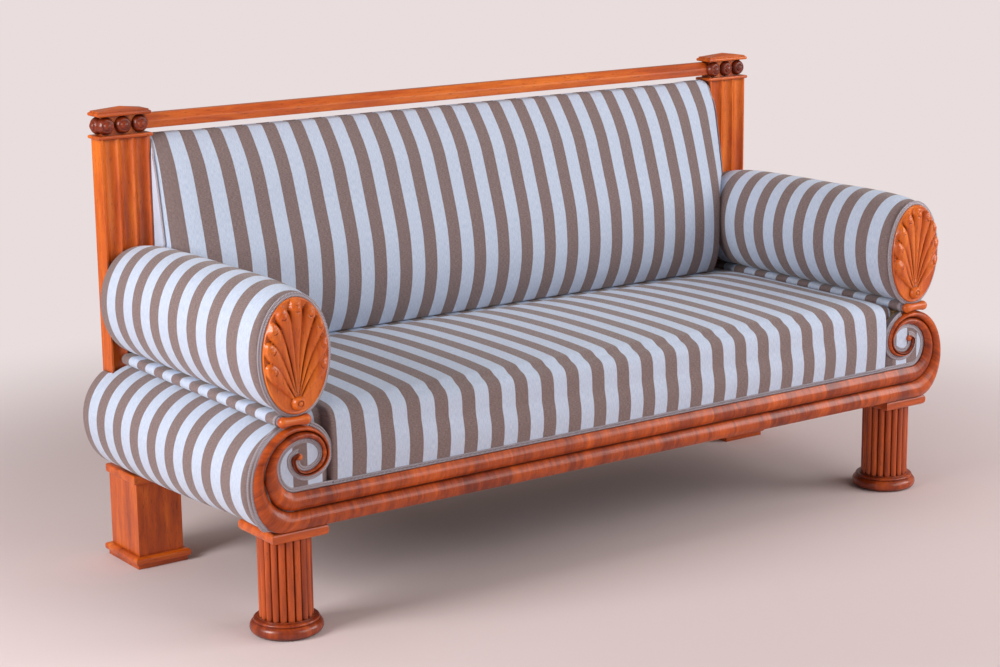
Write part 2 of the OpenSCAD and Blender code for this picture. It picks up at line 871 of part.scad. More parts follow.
// Rings of one lobe: half rounds standing on the plaque across a bent line
function lobe_rings(tip, bend) =
    let (half = [plaque_w / 2, plaque_h / 2],
         p = [0, button_z_share * half[1]],
         q = [bend[0] * half[0], bend[1] * half[1]],
         r = [tip[0] * half[0], tip[1] * half[1]],
         widest = lobe_w_share * half[0])
    [for (row = lobe_shares)
        let (c = bend_point(p, q, r, row[0]), d = bend_way(p, q, r, row[0]), w = widest * row[1],
             rise = relief_h * row[1])
        concat(
            [[c[0] - w * d[1], plaque_sink, c[1] + w * d[0]]],
            [for (a = lobe_arc)
                [c[0] - w * d[1] * cos(a), -rise * sin(a), c[1] + w * d[0] * cos(a)]],
            [[c[0] + w * d[1], plaque_sink, c[1] - w * d[0]]])];

module arm_plaque(side) {
    face = bolster_front - fit - plaque_t;
    color(cherry)
        placed()
            at_end(side)
                translate([bolster_x, 0, bolster_z + bolster_h / 2]) {
                    translate([0, bolster_front - fit, 0])
                        skin([for (row = plaque_edge_shares) let (inset = row[0] * plaque_t)
                            [for (p = oval(plaque_w / 2 - inset, plaque_h / 2 - inset))
                                [p[0], -row[1] * plaque_t, p[1]]]]);
                    translate([0, face, 0])
                        palmette();
                }
}

module palmette() {
    half_w = plaque_w / 2;
    half_h = plaque_h / 2;
    for (i = [0:len(tip_shares) - 1])
        for (way = i == 0 ? [right] : ends)
            mirror([way < 0 ? 1 : 0, 0, 0])
                skin(lobe_rings(tip_shares[i], bend_shares[i]));
    translate([0, 0, button_z_share * half_h])
        difference() {
            sphere(r = button_r, $fn = 48);
            block([-half_w, plaque_sink, -half_w], [half_w, half_w, half_w]);
        }
}

flute_margin = 3;

module back_post(side) {
    pitch = (post_w - 2 * flute_margin) / flute_count;
    half = pitch / 2 - flute_margin / 2;
    flute_r = (half * half + flute_depth * flute_depth) / (2 * flute_depth);
    color(cherry)
        placed()
            at_end(side)
                translate([post_x - post_w / 2, post_front, leg_h])
                    linear_extrude(height = post_h)
                        difference() {
                            square([post_w, post_d]);
                            for (i = [0:flute_count - 1])
                                translate([flute_margin + (i + 0.5) * pitch, flute_depth - flute_r])
                                    circle(r = flute_r, $fn = 96);
                        }
}

module post_neck_plate(side) {
    color(cherry)
        placed()
            at_end(side)
                translate([post_x - post_w / 2 - plate_lip, post_front - capital_lip, post_top])
                    nosed_plate(post_w + 2 * plate_lip, post_d + 2 * capital_lip,
                                plate_t, nose_share * plate_t);
}

module capital_block(side) {
    color(cherry)
        placed()
            at_end(side)
                block([post_x - block_w / 2, block_front, post_top + plate_t],
                      [post_x + block_w / 2, block_back, post_top + plate_t + block_h]);
}

// Half balls between the plates of both capitals: three in front and one on the outer side
module capital_balls() {
    mid_z = post_top + plate_t + block_h / 2;
    cut_z = post_top + block_h + 2 * plate_t;
    pitch = 2 * ball_r + ball_gap;
    row_x = post_x - (ball_count - 1) / 2 * pitch;
    side_x = post_x + block_w / 2;
    color("#8f3a1c")
        placed()
            for (side = ends)
                at_end(side) {
                    difference() {
                        for (i = [0:ball_count - 1])
                            translate([row_x + i * pitch, block_front + ball_sink, mid_z])
                                sphere(r = ball_r, $fn = 48);
                        block([post_x - block_w, block_front - fit / 2, post_top],
                              [post_x + block_w, post_back, cut_z]);
                    }
                    difference() {
                        translate([side_x - ball_sink, (block_front + block_back) / 2 + ball_sink, mid_z])
                            sphere(r = ball_r, $fn = 48);
                        block([post_x - block_w, post_front - post_d, post_top],
                              [side_x + fit / 2, post_back + post_d, cut_z]);
                    }
                }
}

module capital_cap(side) {
    w = post_w + 2 * plate_lip - cap_inset;
    d = post_d + 2 * capital_lip;
    base = post_top + plate_t + block_h;
    color(cherry)
        placed()
            at_end(side)
                translate([post_x - w / 2, post_front - capital_lip, base]) {
                    nosed_plate(w, d, plate_t, nose_share * plate_t);
                    translate([cap_inset, cap_inset, plate_t])
                        pyramid(w - 2 * cap_inset, d - 2 * cap_inset);
                }
}

// A low hipped cap over a small upright edge
module pyramid(w, d) {
    polyhedron(
        points = concat(
            [for (z = [0, cap_edge]) each [[0, 0, z], [w, 0, z], [w, d, z], [0, d, z]]],
            [[w / 2, d / 2, cap_rise]]),
        faces = [[0, 1, 2, 3], [0, 4, 5, 1], [1, 5, 6, 2], [2, 6, 7, 3], [3, 7, 4, 0],
                 [4, 8, 5], [5, 8, 6], [6, 8, 7], [7, 8, 4]]);
}

module top_rail() {
    top = post_top + plate_t + block_h - top_rail_drop;
    arris_z = top - rail_arris_share * top_rail_h;
    color(cherry)
        placed()
            along_x(-post_x + block_w / 2, post_x - block_w / 2)
                polygon([[rail_front + rail_lip, top - top_rail_h], [rail_front, arris_z],
                         [rail_front + rail_bevel, top], [rail_back, top], [rail_back, top - top_rail_h]]);
}

// Members of the back frame: sill, head, two outer stiles down to the back seat rail, two inner ones
module back_frame() {
    low = back_z;
    color(pale_wood)
        placed() {
            block([-back_half, back_plane, low], [back_half, back_plane + back_frame_t, low + back_bar_w]);
            block([-back_half, back_plane, back_frame_top - back_bar_w],
                  [back_half, back_plane + back_frame_t, back_frame_top]);
            for (side = ends)
                at_end(side) {
                    block([back_half - back_bar_w, back_plane, rail_top],
                          [back_half, back_plane + back_frame_t, back_frame_top]);
                    block([stile_x - back_bar_w / 2, back_plane, low],
                          [stile_x + back_bar_w / 2, back_plane + back_frame_t, back_frame_top]);
                }
        }
}

// Straps in the three bays of the back frame
module back_webbing() {
    z0 = back_z + back_bar_w + fit;
    z1 = back_frame_top - back_bar_w - fit;
    bays = [[-stile_x + back_bar_w / 2, stile_x - back_bar_w / 2, middle_straps],
            [stile_x + back_bar_w / 2, back_half - back_bar_w, end_straps],
            [-back_half + back_bar_w, -stile_x - back_bar_w / 2, end_straps]];
    color(linen)
        placed()
            translate([0, back_plane + back_frame_t / 2, 0])
                rotate([90, 0, 0])
                    for (bay = bays)
                        webbing(bay[0] + fit, bay[1] - fit, z0, z1, 0, bay[2], back_web_rows);
}

module outside_back_cloth() {
    y0 = back_plane + back_frame_t + fit;
    color(stripe_cloth)
        placed()
            block([-back_half, y0, rail_top + fit], [back_half, y0 + cloth_t, back_top - fit]);
}

// Outline of the back cushion in Y and Z where its sides keep a share of the swell
function back_ring(x, keep, tucked) =
    let (h = back_top - back_z, rear = back_plane + back_frame_t)
    [for (p = concat(
        [[cushion_plane, back_z], [cushion_plane, back_frame_top + fit], [rear, back_frame_top + fit],
         [rear, back_top - top_round], [rear - top_round, back_top]],
        [for (row = back_shares) let (k = keep + (1 - keep) * row[2])
            [tucked && row[3] > 0 ? post_front + fit + pocket_rake * row[1]
                                  : cushion_plane - row[0] * back_swell * (row[0] > 0 ? k : 1),
             back_z + row[1] * h]]))
        [x, p[0], p[1]]];

module back_cushion() {
    mid_rows = [for (row = back_mid_shares) [row[0] * back_half, row[1], false]];
    edge_rows = [for (row = back_edge_shares) [row[0] * back_half, row[1], true]];
    inner_keep = back_mid_shares[len(back_mid_shares) - 1][1];
    rows = concat(mid_rows,
                  [[bolster_inner - pocket_wall, inner_keep, false], [bolster_inner, inner_keep, true]],
                  edge_rows);
    color(stripe_cloth)
        placed()
            for (side = ends)
                at_end(side)
                    skin([for (row = rows) back_ring(row[0], row[1], row[2])]);
}

// Outline of the seat in Y and Z with its front border at front and its top held under a share;
// behind the scroll boards the border stays flat
function seat_ring(x, front, cap) =
    [for (p = seat_shares) let (forward = front > seat_front ? max(p[0], 0) : p[0])
        [x, front + forward * (seat_back - front), rail_top + fit + min(p[1], cap) * seat_rise]];

module seat_cushion() {
    inside = eye_x + outer_turns[3][0];
    clear_x = inside - seat_shoulder;
    sides = [for (row = seat_side_shares) [seat_half * (1 - row[0]), row[1]]];
    rows = concat(
        [[0, seat_front, 1]],
        [for (i = [len(sides) - 1:-1:0]) if (sides[i][0] < clear_x) [sides[i][0], seat_front, sides[i][1]]],
        [[clear_x, seat_front, sides[3][1]], [inside, board_back_y + fit, sides[2][1]]],
        [for (i = [len(sides) - 1:-1:0]) if (sides[i][0] > inside)
            [sides[i][0], board_back_y + fit, sides[i][1]]]);
    color(stripe_cloth)
        placed()
            difference() {
                for (side = ends)
                    at_end(side)
                        skin([for (row = rows) seat_ring(row[0], row[1], row[2])]);
                block([-cavity_x, cavity_front, rail_top - overrun],
                      [cavity_x, cavity_back, rail_top + cavity_h]);
            }
}

module seat_gimp() {
    reach = eye_x + outer_turns[3][0] - seat_shoulder;
    color(braid_grey)
        placed()
            along_x(-reach, reach)
                translate([seat_front - fit - gimp_r, rail_top + fit + gimp_r]) {
                    circle(r = gimp_r, $fn = 24);
                    translate([0, gimp_pitch_share * gimp_r])
                        circle(r = gimp_r, $fn = 24);
                }
}

front_leg_column(left);  // front_leg_column_left
front_leg_column(right);  // front_leg_column_right
front_foot_ring(left);  // front_foot_ring_left
front_foot_ring(right);  // front_foot_ring_right
front_abacus(left);  // front_abacus_left
front_abacus(right);  // front_abacus_right
rear_pier(left);  // rear_pier_left
rear_pier(right);  // rear_pier_right
rear_plinth(left);  // rear_plinth_left
rear_plinth(right);  // rear_plinth_right
rear_pier_cap(left);  // rear_pier_cap_left
rear_pier_cap(right);  // rear_pier_cap_right
front_seat_rail();
back_seat_rail();
side_seat_rail(left);  // side_seat_rail_left
side_seat_rail(right);  // side_seat_rail_right
seat_braces();
corner_blocks();
seat_webbing();
seat_springs();
spring_hessian();
dust_cover();
front_rail_moulding();
scroll_moulding(left);  // scroll_moulding_left
scroll_moulding(right);  // scroll_moulding_right
volute_panel(left);  // volute_panel_left
volute_panel(right);  // volute_panel_right
volute_board(left);  // volute_board_left
volute_board(right);  // volute_board_right
arm_uprights();
arm_rail(left);  // arm_rail_left
arm_rail(right);  // arm_rail_right
side_roll(left);  // side_roll_left
side_roll(right);  // side_roll_right
arm_spacer_roll(left);  // arm_spacer_roll_left
arm_spacer_roll(right);  // arm_spacer_roll_right
arm_spool(left);  // arm_spool_left
arm_spool(right);  // arm_spool_right
arm_end_boards();
arm_laths();
arm_bolster(left);  // arm_bolster_left
arm_bolster(right);  // arm_bolster_right
arm_plaque(left);  // arm_plaque_left
arm_plaque(right);  // arm_plaque_right
back_post(left);  // back_post_left
back_post(right);  // back_post_right
post_neck_plate(left);  // post_neck_plate_left
post_neck_plate(right);  // post_neck_plate_right
capital_block(left);  // capital_block_left
capital_block(right);  // capital_block_right
capital_balls();
capital_cap(left);  // capital_cap_left
capital_cap(right);  // capital_cap_right
top_rail();
back_frame();
back_webbing();
outside_back_cloth();
back_cushion();
seat_cushion();
seat_gimp();
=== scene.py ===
import math

import bpy
import numpy as np
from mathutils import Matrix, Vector


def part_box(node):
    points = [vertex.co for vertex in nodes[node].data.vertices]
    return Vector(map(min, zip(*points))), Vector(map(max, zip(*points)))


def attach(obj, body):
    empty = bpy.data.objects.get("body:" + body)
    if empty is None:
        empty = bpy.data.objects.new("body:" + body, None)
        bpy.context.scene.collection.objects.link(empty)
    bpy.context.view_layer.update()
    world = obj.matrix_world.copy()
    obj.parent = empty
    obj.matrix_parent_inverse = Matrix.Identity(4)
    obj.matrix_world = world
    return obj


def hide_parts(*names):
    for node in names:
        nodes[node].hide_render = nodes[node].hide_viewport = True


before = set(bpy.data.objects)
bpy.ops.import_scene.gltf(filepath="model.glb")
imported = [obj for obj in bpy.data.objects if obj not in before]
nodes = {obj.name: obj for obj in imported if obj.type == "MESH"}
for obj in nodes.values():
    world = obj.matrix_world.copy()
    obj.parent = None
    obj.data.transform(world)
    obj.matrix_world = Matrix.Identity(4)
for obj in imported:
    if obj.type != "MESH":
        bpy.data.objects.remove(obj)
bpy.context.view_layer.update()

# Looks of a striped sofa with scrolled arms, palmette plaques and reeded columns.
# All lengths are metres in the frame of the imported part.
ends = {"left": -1, "right": 1}
print("frame loaded with", len(nodes), "nodes")

# Places that the other pieces are set from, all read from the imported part
columnLow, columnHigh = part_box("front_leg_column_right")
place = {
    "eyeX": (columnLow.x + columnHigh.x) / 2,
    "frontY": (columnLow.y + columnHigh.y) / 2,  # axis of the front columns
    "legTop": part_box("front_abacus_right")[1].z,
    "postFront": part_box("back_post_right")[0].y,
    "postTop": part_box("back_post_right")[1].z,
}
scroll = {
    "drop": 0.149,  # eye above the underside of the rail
    "railHeight": 0.077,
    "bandHeight": 0.039,
    "edgeOut": 0.075,  # edges of the moulding in front of the column axis
    "thickness": 0.015,
    "swell": 0.011,
    "grooveSink": 0.25,
    "grooveCut": 0.0022,
    "cutWide": 0.05,  # in shares of a band
    "outer": [(0.27, -1.0), (0.72, -0.335), (0.055, 0.435),
              (-0.463, -0.005), (-0.135, -0.28), (0.112, -0.035), (0, 0.04)],
    "groove": [(0.07, -0.7383), (0.54, -0.235), (-0.035, 0.345),
               (-0.415, 0), (-0.1, -0.248), (0.09, -0.05), (0, 0.02)],
    "inner": [(0.07, -0.4832), (0.35, -0.12), (-0.08, 0.245),
              (-0.37, 0), (-0.1, -0.218), (0.06, -0.05), (0, 0.005)],
    "straightSteps": 12,
    "turnSteps": 26,
    "bandSteps": 14,
    "jointIn": 0.04,
}
eyeZ = place["legTop"] + scroll["drop"]
railTop = place["legTop"] + scroll["railHeight"]
groundY = place["frontY"] - scroll["edgeOut"] + scroll["thickness"]


def paint(red, green, blue):
    # a colour as seen on a screen, 0 to 255, made linear
    shares = [c / 255 for c in (red, green, blue)]
    return tuple(c / 12.92 if c < 0.0404 else ((c + 0.055) / 1.055) ** 2.4 for c in shares) + (1,)


class Wire:
    # the output of a shader node; sums written with it add Math nodes
    def __init__(self, finish, socket):
        self.finish = finish
        self.socket = socket


def mathMethod(operation):
    # a method for wires that adds one Math node
    def method(self, *others):
        return self.finish.node("Math", {"operation": operation}, dict(enumerate((self, *others))))
    return method


wireMethods = {
    "__add__": "ADD", "__radd__": "ADD", "__sub__": "SUBTRACT", "__mul__": "MULTIPLY", "__truediv__": "DIVIDE",
    "__gt__": "GREATER_THAN", "sine": "SINE", "part": "FRACT", "whole": "FLOOR", "size": "ABSOLUTE",
}
for name, operation in wireMethods.items():
    setattr(Wire, name, mathMethod(operation))


class Finish:
    # one material and its node tree
    def __init__(self, name, **constants):
        self.material = bpy.data.materials.new(name)
        self.material.use_nodes = True
        self.tree = self.material.node_tree
        self.shader = self.tree.nodes["Principled BSDF"]
        self.set(**constants)

    def node(self, kind, settings=None, inputs=None, output=0):
        made = self.tree.nodes.new("ShaderNode" + kind)
        for key, value in (settings or {}).items():
            if key == "stops":
                ramp = made.color_ramp
                while len(ramp.elements) < len(value):
                    ramp.elements.new(1)
                for element, (at, colour) in zip(ramp.elements, value):
                    element.position = at
                    element.color = colour
            else:
                setattr(made, key, value)
        for key, value in (inputs or {}).items():
            self.feed(made.inputs[key], value)
        return Wire(self, made.outputs[output])

    def feed(self, socket, value):
        if isinstance(value, Wire):
            self.tree.links.new(value.socket, socket)
        else:
            socket.default_value = value

    def set(self, **values):
        for key, value in values.items():
            self.feed(self.shader.inputs[key.replace("_", " ")], value)

    def noise(self, vector, scale, detail, **more):
        return self.node("TexNoise", inputs={"Vector": vector, "Scale": scale, "Detail": detail, **more})

    def spot(self):
        # where a point lies in its piece
        return self.node("TexCoord", output=3)

    def stretched(self, vector, **how):
        return self.node("Mapping", inputs={"Vector": vector, **how})

    def apart(self, vector):
        # the first two parts of a vector
        first = self.node("SeparateXYZ", inputs={0: vector})
        return first, Wire(self, first.socket.node.outputs[1])

    def mix(self, share, first, second):
        node = self.tree.nodes.new("ShaderNodeMix")
        node.data_type = "RGBA"
        self.feed(node.inputs[0], share)
        self.feed(node.inputs[6], first)
        self.feed(node.inputs[7], second)
        return Wire(self, node.outputs[2])

    def smooth(self, value, low, high, start=0.0, end=1.0):
        return self.node("MapRange", {"interpolation_type": "SMOOTHSTEP"},
                         {0: value, 1: low, 2: high, 3: start, 4: end})

    def bump(self, height, distance, strength=1.0, **base):
        inputs = {"Height": height, "Distance": distance, "Strength": strength, **base}
        self.set(Normal=self.node("Bump", inputs=inputs))


# Cherry under shellac: warm orange red with fine pores along the grain, worn paler on the arrises with
# a painted highlight along them, and darker in the quirks and hollows with old dark polish and painted shade
cherry = {
    "deep": paint(78, 22, 8),
    "dark": paint(136, 47, 8),
    "middle": paint(202, 86, 15),
    "light": paint(240, 126, 30),
    "pore": paint(92, 28, 8),
    # used both for dark polish and for painted shade in quirks, flutes and carving
    "shadeAndPolishColour": paint(58, 16, 7),
    "along": 0.14,  # how much slower the grain changes along the wood
    "quirk": 0.011,  # how far the dark polish and painted shade reach from a quirk
    "cloudScale": 9.0,
    "figureScale": 55.0,
    "poreScale": 420.0,
    "poreShare": 0.45,
    # how far arrises are lightened: wear with a painted highlight
    "wornAndHighlightShare": 0.45,
    "roughness": (0.3, 0.16),  # the least, and what the figure adds
}


def cherryFinish(name, grain, seed=0.0, tone=0.0, shadeAndPolishStrength=0.6, arris=0.0011, clear=0.8):
    finish = Finish(name, Coat_Weight=0.3, Coat_Roughness=0.14, IOR=1.45)
    stretch = tuple(cherry["along"] if axis == grain else 1.0 for axis in "XYZ")
    wood = finish.stretched(finish.spot(), Location=(seed, seed * 0.7, seed * 1.3), Scale=stretch)
    cherryColours(finish, wood, tone, shadeAndPolishStrength, arris, clear)
    return finish.material


def cherryColours(finish, wood, tone, shadeAndPolishStrength, arris, clear=0.8, shade=None):
    cloud = finish.noise(wood, cherry["cloudScale"], 3.0, Distortion=0.8)
    figure = finish.noise(wood, cherry["figureScale"], 5.0, Roughness=0.6, Distortion=0.4)
    pores = finish.noise(wood, cherry["poreScale"], 2.0)
    value = cloud * 0.5 + figure * 0.5 + tone
    if shade is not None:
        value = value + shade
    stops = [(0.08, cherry["deep"]), (0.3, cherry["dark"]), (0.5, cherry["middle"]), (0.7, cherry["light"])]
    colour = finish.node("ValToRGB", {"stops": stops}, {0: value})
    colour = finish.mix(finish.smooth(pores, 0.6, 0.72) * cherry["poreShare"], colour, cherry["pore"])
    rounded = finish.node("Bevel", {"samples": 4}, {"Radius": arris})
    flat = finish.node("NewGeometry", output=1)
    bent = finish.node("VectorMath", {"operation": "DOT_PRODUCT"}, {0: rounded, 1: flat}, output=1)
    exposed = finish.node("AmbientOcclusion", {"samples": 6}, {"Distance": cherry["quirk"]}, output=1)
    # arrises lightened towards the light colour: partly wear, partly a painted highlight along them
    wornAndHighlight = finish.smooth(bent, 0.78, 0.99, 1.0, 0.0) * finish.smooth(exposed, 0.7, 0.95)
    colour = finish.mix(wornAndHighlight * cherry["wornAndHighlightShare"], colour, cherry["light"])
    # painted shade with dark polish: darker where the occlusion finds quirks, flutes and carved hollows
    colour = finish.mix(finish.smooth(exposed, 0.25, clear, shadeAndPolishStrength, 0.0), colour, cherry["shadeAndPolishColour"])
    least, added = cherry["roughness"]
    finish.set(Base_Color=colour, Roughness=least + figure * added)
    finish.bump(figure * 0.5 + pores * 0.3, 0.0004, 0.35, Normal=rounded)
    return colour


# Veneer laid across the mouldings in short leaves, read from the "run" map: u along, v across
veneer = {"leaf": 0.125, "joint": 0.0006, "spread": 0.075, "streak": 0.12, "tone": -0.14, "grooveWide": 0.0032}


def veneerFinish():
    finish = Finish("cherryVeneer", Coat_Weight=0.22, Coat_Roughness=0.16, IOR=1.42)
    run = finish.node("UVMap", {"uv_map": "run"})
    along, across = finish.apart(run)
    band = across > 0.0
    sway = finish.node("TexNoise", {"noise_dimensions": "1D"}, {"W": along * 3.1, "Scale": 1.0, "Detail": 0.0})
    place1d = along / veneer["leaf"] + sway * 1.4 + band * 0.43
    leaf = place1d.whole() + band * 17.0
    tone = finish.node("TexWhiteNoise", {"noise_dimensions": "1D"}, {"W": leaf}, output=0)
    side = (place1d.part() - 0.5).size()
    joint = finish.smooth(side, 0.5 - veneer["joint"] / veneer["leaf"] * 1.6, 0.5)
    wood = finish.node("CombineXYZ", inputs={0: along + leaf * 0.37, 1: across * 0.2, 2: leaf * 1.7})
    streak = finish.noise(wood, 210.0, 3.0)
    shade = tone * veneer["spread"] + (streak - 0.5) * veneer["streak"] * 2
    colour = cherryColours(finish, wood, veneer["tone"], 0.3, 0.0008, shade=shade)
    # painted shade with dark polish: darker in the groove between the two bands
    groove = finish.smooth(across.size(), 0.0, veneer["grooveWide"], 1.0, 0.0)
    colour = finish.mix(joint * 0.6, colour, cherry["pore"])
    finish.set(Base_Color=finish.mix(groove * 0.8, colour, cherry["shadeAndPolishColour"]))
    return finish.material


# Striped rep: brown and pale blue, read from the "cloth" map in metres: u across the stripes, v along
rep = {
    "pitch": 0.0685,
    "brownShare": 0.492,
    "brown": paint(118, 98, 96),
    "brownLight": paint(150, 129, 126),
    "blue": paint(187, 202, 226),
    "blueLight": paint(216, 225, 243),
    "thread": 0.0011,
    "edge": 0.0006,  # how softly one stripe passes into the next
    "sway": 0.0022,
}


def acrossStripes(at, stripes):
    # place across the stripes of a piece, whose stripes are (where a brown one starts, pitch)
    return (at - stripes[0]) * rep["pitch"] / stripes[1]


def repFinish():
    finish = Finish("stripedRep", Sheen_Weight=0.25, Sheen_Roughness=0.4, IOR=1.45)
    cloth = finish.node("UVMap", {"uv_map": "cloth"})
    across, along = finish.apart(cloth)
    across = across + (finish.noise(cloth, 5.0, 1.0) - 0.5) * rep["sway"]
    phase = (across / rep["pitch"]).part()
    edge = rep["edge"] / rep["pitch"]
    half = rep["brownShare"] / 2
    brown = finish.smooth((phase - half).size(), half - edge, half + edge, 1.0, 0.0)
    slub = finish.noise(finish.stretched(cloth, Scale=(170.0, 900.0, 1.0)), 1.0, 2.0)
    streak = finish.noise(finish.stretched(cloth, Scale=(700.0, 90.0, 1.0)), 1.0, 2.0)
    brownSlub = finish.smooth(slub * 0.7 + streak * 0.3, 0.34, 0.66)
    blueStreak = finish.smooth(streak * 0.7 + slub * 0.3, 0.3, 0.7)
    brownTone = finish.mix(brownSlub, rep["brown"], rep["brownLight"])
    blueTone = finish.mix(blueStreak, rep["blue"], rep["blueLight"])
    ribs = (along * (2 * math.pi / rep["thread"])).sine()
    warp = (across * (2 * math.pi / rep["thread"] * 1.3)).sine()
    colour = finish.mix(brown, blueTone, brownTone)
    finish.set(Base_Color=colour, Roughness=0.62 + brown * 0.2)
    finish.bump(ribs * warp * 0.5 + slub * (0.5 + brown), 0.00035, 0.6)
    return finish.material


# Fine grey blue gimp, read from the "run" map: u along the braid, v from -1 to 1 across it
gimp = {"light": paint(208, 197, 203), "dark": paint(104, 97, 108), "rib": 0.0032}


def gimpFinish():
    finish = Finish("gimpBraid", Roughness=0.7, Sheen_Weight=0.2, IOR=1.45)
    run = finish.node("UVMap", {"uv_map": "run"})
    along, across = finish.apart(run)
    slant = across.size() * 0.9
    rib = ((along / gimp["rib"] + slant) * (2 * math.pi)).sine() * 0.5 + 0.5
    speck = finish.noise(run, 900.0, 1.0)
    thread = finish.smooth(rib * 0.75 + speck * 0.3, 0.15, 0.95)
    finish.set(Base_Color=finish.mix(thread, gimp["dark"], gimp["light"]))
    finish.bump(rib, 0.0006, 0.6)
    return finish.material


def plainFinish(name, first, second, scale, roughness=0.7, stretch=(1.0, 1.0, 1.0), metal=0.0, bump=0.0005):
    finish = Finish(name, Metallic=metal)
    spot = finish.stretched(finish.spot(), Scale=stretch)
    broad = finish.noise(spot, scale, 4.0)
    fine = finish.noise(spot, scale * 12, 2.0)
    finish.set(Base_Color=finish.mix(finish.smooth(broad * 0.6 + fine * 0.4, 0.3, 0.7), first, second),
               Roughness=roughness - 0.1 + fine * 0.2)
    finish.bump(fine, bump, 0.5)
    return finish.material


def wovenFinish(name, first, second, thread):
    finish = Finish(name, Roughness=0.85)
    spot = finish.spot()
    across, along = finish.apart(spot)
    turn = 2 * math.pi / thread
    weave = (across * turn).sine() * (along * turn).sine() * 0.5 + 0.5
    speck = finish.noise(spot, 160.0, 3.0)
    finish.set(Base_Color=finish.mix(weave * 0.6 + speck * 0.4, first, second))
    finish.bump(weave, thread * 0.3, 0.6)
    return finish.material


# Where these finishes darken their hollows, that is painted shade together with dark polish
finishes = {
    "upright": cherryFinish("cherryUpright", "Z"),
    "level": cherryFinish("cherryLevel", "X", seed=0.31),
    # top rail: a broader rounded arris, lightened along it as wear and a painted highlight
    "topRail": cherryFinish("cherryTopRail", "X", seed=0.42, tone=0.02, arris=0.006),
    "reeded": cherryFinish("cherryReeded", "Z", seed=0.5, tone=-0.07, shadeAndPolishStrength=0.9),
    # flutes: painted shade and dark polish reach over nearly all of each flute's hollow
    "fluted": cherryFinish("cherryFluted", "Z", seed=0.9, tone=0.05, shadeAndPolishStrength=0.9, clear=0.985),
    "turned": cherryFinish("cherryTurned", "Z", seed=0.77, tone=-0.02),
    "footRing": cherryFinish("cherryFootRing", "Z", seed=0.6, tone=-0.2),
    "carved": cherryFinish("cherryCarved", "Z", seed=1.3, tone=0.05, shadeAndPolishStrength=0.8),
    "boss": cherryFinish("cherryBoss", "Y", seed=2.1, tone=-0.28, shadeAndPolishStrength=0.8),
    "veneer": veneerFinish(),
    "rep": repFinish(),
    "gimp": gimpFinish(),
    "frameWood": plainFinish("beechFrame", paint(196, 156, 106), paint(222, 190, 142), 24.0,
                             stretch=(0.2, 1.0, 1.0)),
    "webbing": wovenFinish("linenWebbing", paint(170, 152, 118), paint(212, 198, 166), 0.0022),
    "hessian": wovenFinish("springHessian", paint(150, 128, 90), paint(196, 176, 134), 0.0018),
    "steel": plainFinish("springSteel", paint(120, 124, 128), paint(168, 172, 176), 60.0,
                         roughness=0.42, metal=1.0),
    "blackCloth": wovenFinish("dustCloth", paint(26, 25, 26), paint(52, 50, 52), 0.0014),
}

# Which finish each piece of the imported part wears
dress = [
    ("front_leg_column", "reeded"), ("front_foot_ring", "footRing"), ("front_abacus", "level"),
    ("rear_pier_cap", "level"), ("rear_pier", "upright"), ("rear_plinth", "level"),
    ("back_post", "fluted"), ("post_neck_plate", "level"), ("capital_block", "upright"),
    ("capital_balls", "boss"), ("capital_cap", "level"), ("top_rail", "topRail"), ("arm_spool", "level"),
    ("arm_plaque", "carved"), ("front_rail_moulding", "level"), ("scroll_moulding", "upright"),
    ("seat_webbing", "webbing"), ("back_webbing", "webbing"), ("spring_hessian", "hessian"),
    ("seat_springs", "steel"), ("dust_cover", "blackCloth"),
]
for name, node in nodes.items():
    wears = next((finish for start, finish in dress if name.startswith(start)), "frameWood")
    node.data.materials.clear()
    node.data.materials.append(finishes[wears])
print("finishes made:", len(finishes))


def placed(name, data):
    piece = bpy.data.objects.new(name, data)
    bpy.context.scene.collection.objects.link(piece)
    return piece


def choose(piece):
    bpy.ops.object.select_all(action="DESELECT")
    piece.select_set(True)
    bpy.context.view_layer.objects.active = piece


def tidyMesh(piece, angle=None, merge=0.00001):
    # joins doubled points, turns faces outward and smooths the shading
    choose(piece)
    bpy.ops.object.mode_set(mode="EDIT")
    bpy.ops.mesh.select_all(action="SELECT")
    bpy.ops.mesh.remove_doubles(threshold=merge)
    bpy.ops.mesh.normals_make_consistent(inside=False)
    bpy.ops.object.mode_set(mode="OBJECT")
    if angle is None:
        bpy.ops.object.shade_smooth()
    else:
        bpy.ops.object.shade_smooth_by_angle(angle=math.radians(angle))


def loft(name, rings, mapName, maps, capped=True):
    # a skin over closed rings of points with a map of (u, v) pairs: one for each point of a ring
    # and one for the first point again
    count = len(rings[0])
    points = [point for ring in rings for point in ring]
    faces, corners = [], []
    for k in range(len(rings) - 1):
        for i in range(count):
            j = (i + 1) % count
            faces.append((k * count + i, (k + 1) * count + i, (k + 1) * count + j, k * count + j))
            corners += [maps[k][i], maps[k + 1][i], maps[k + 1][i + 1], maps[k][i + 1]]
    if capped:
        for k in (0, len(rings) - 1):
            centre = sum((Vector(point) for point in rings[k]), Vector()) / count
            points.append(tuple(centre))
            mid = maps[k][0]
            for i in range(count):
                faces.append((k * count + i, k * count + (i + 1) % count, len(points) - 1))
                corners += [maps[k][i], maps[k][i + 1], mid]
    mesh = bpy.data.meshes.new(name)
    mesh.from_pydata(points, [], faces)
    layer = mesh.uv_layers.new(name=mapName)
    layer.data.foreach_set("uv", [c for pair in corners for c in pair])
    return placed(name, mesh)


def curveThrough(points, steps):
    # a smooth run through the given points, with steps between each two
    pts = [np.array(p, float) for p in points]
    pts = [2 * pts[0] - pts[1]] + pts + [2 * pts[-1] - pts[-2]]
    run = []
    for i in range(1, len(pts) - 2):
        a, b, c, d = pts[i - 1:i + 3]
        for s in range(steps):
            t = s / steps
            square, cube = 2 * a - 5 * b + 4 * c - d, 3 * b - a - 3 * c + d
            run.append(0.5 * (2 * b + (c - a) * t + square * t ** 2 + cube * t ** 3))
    run.append(pts[-2])
    return run


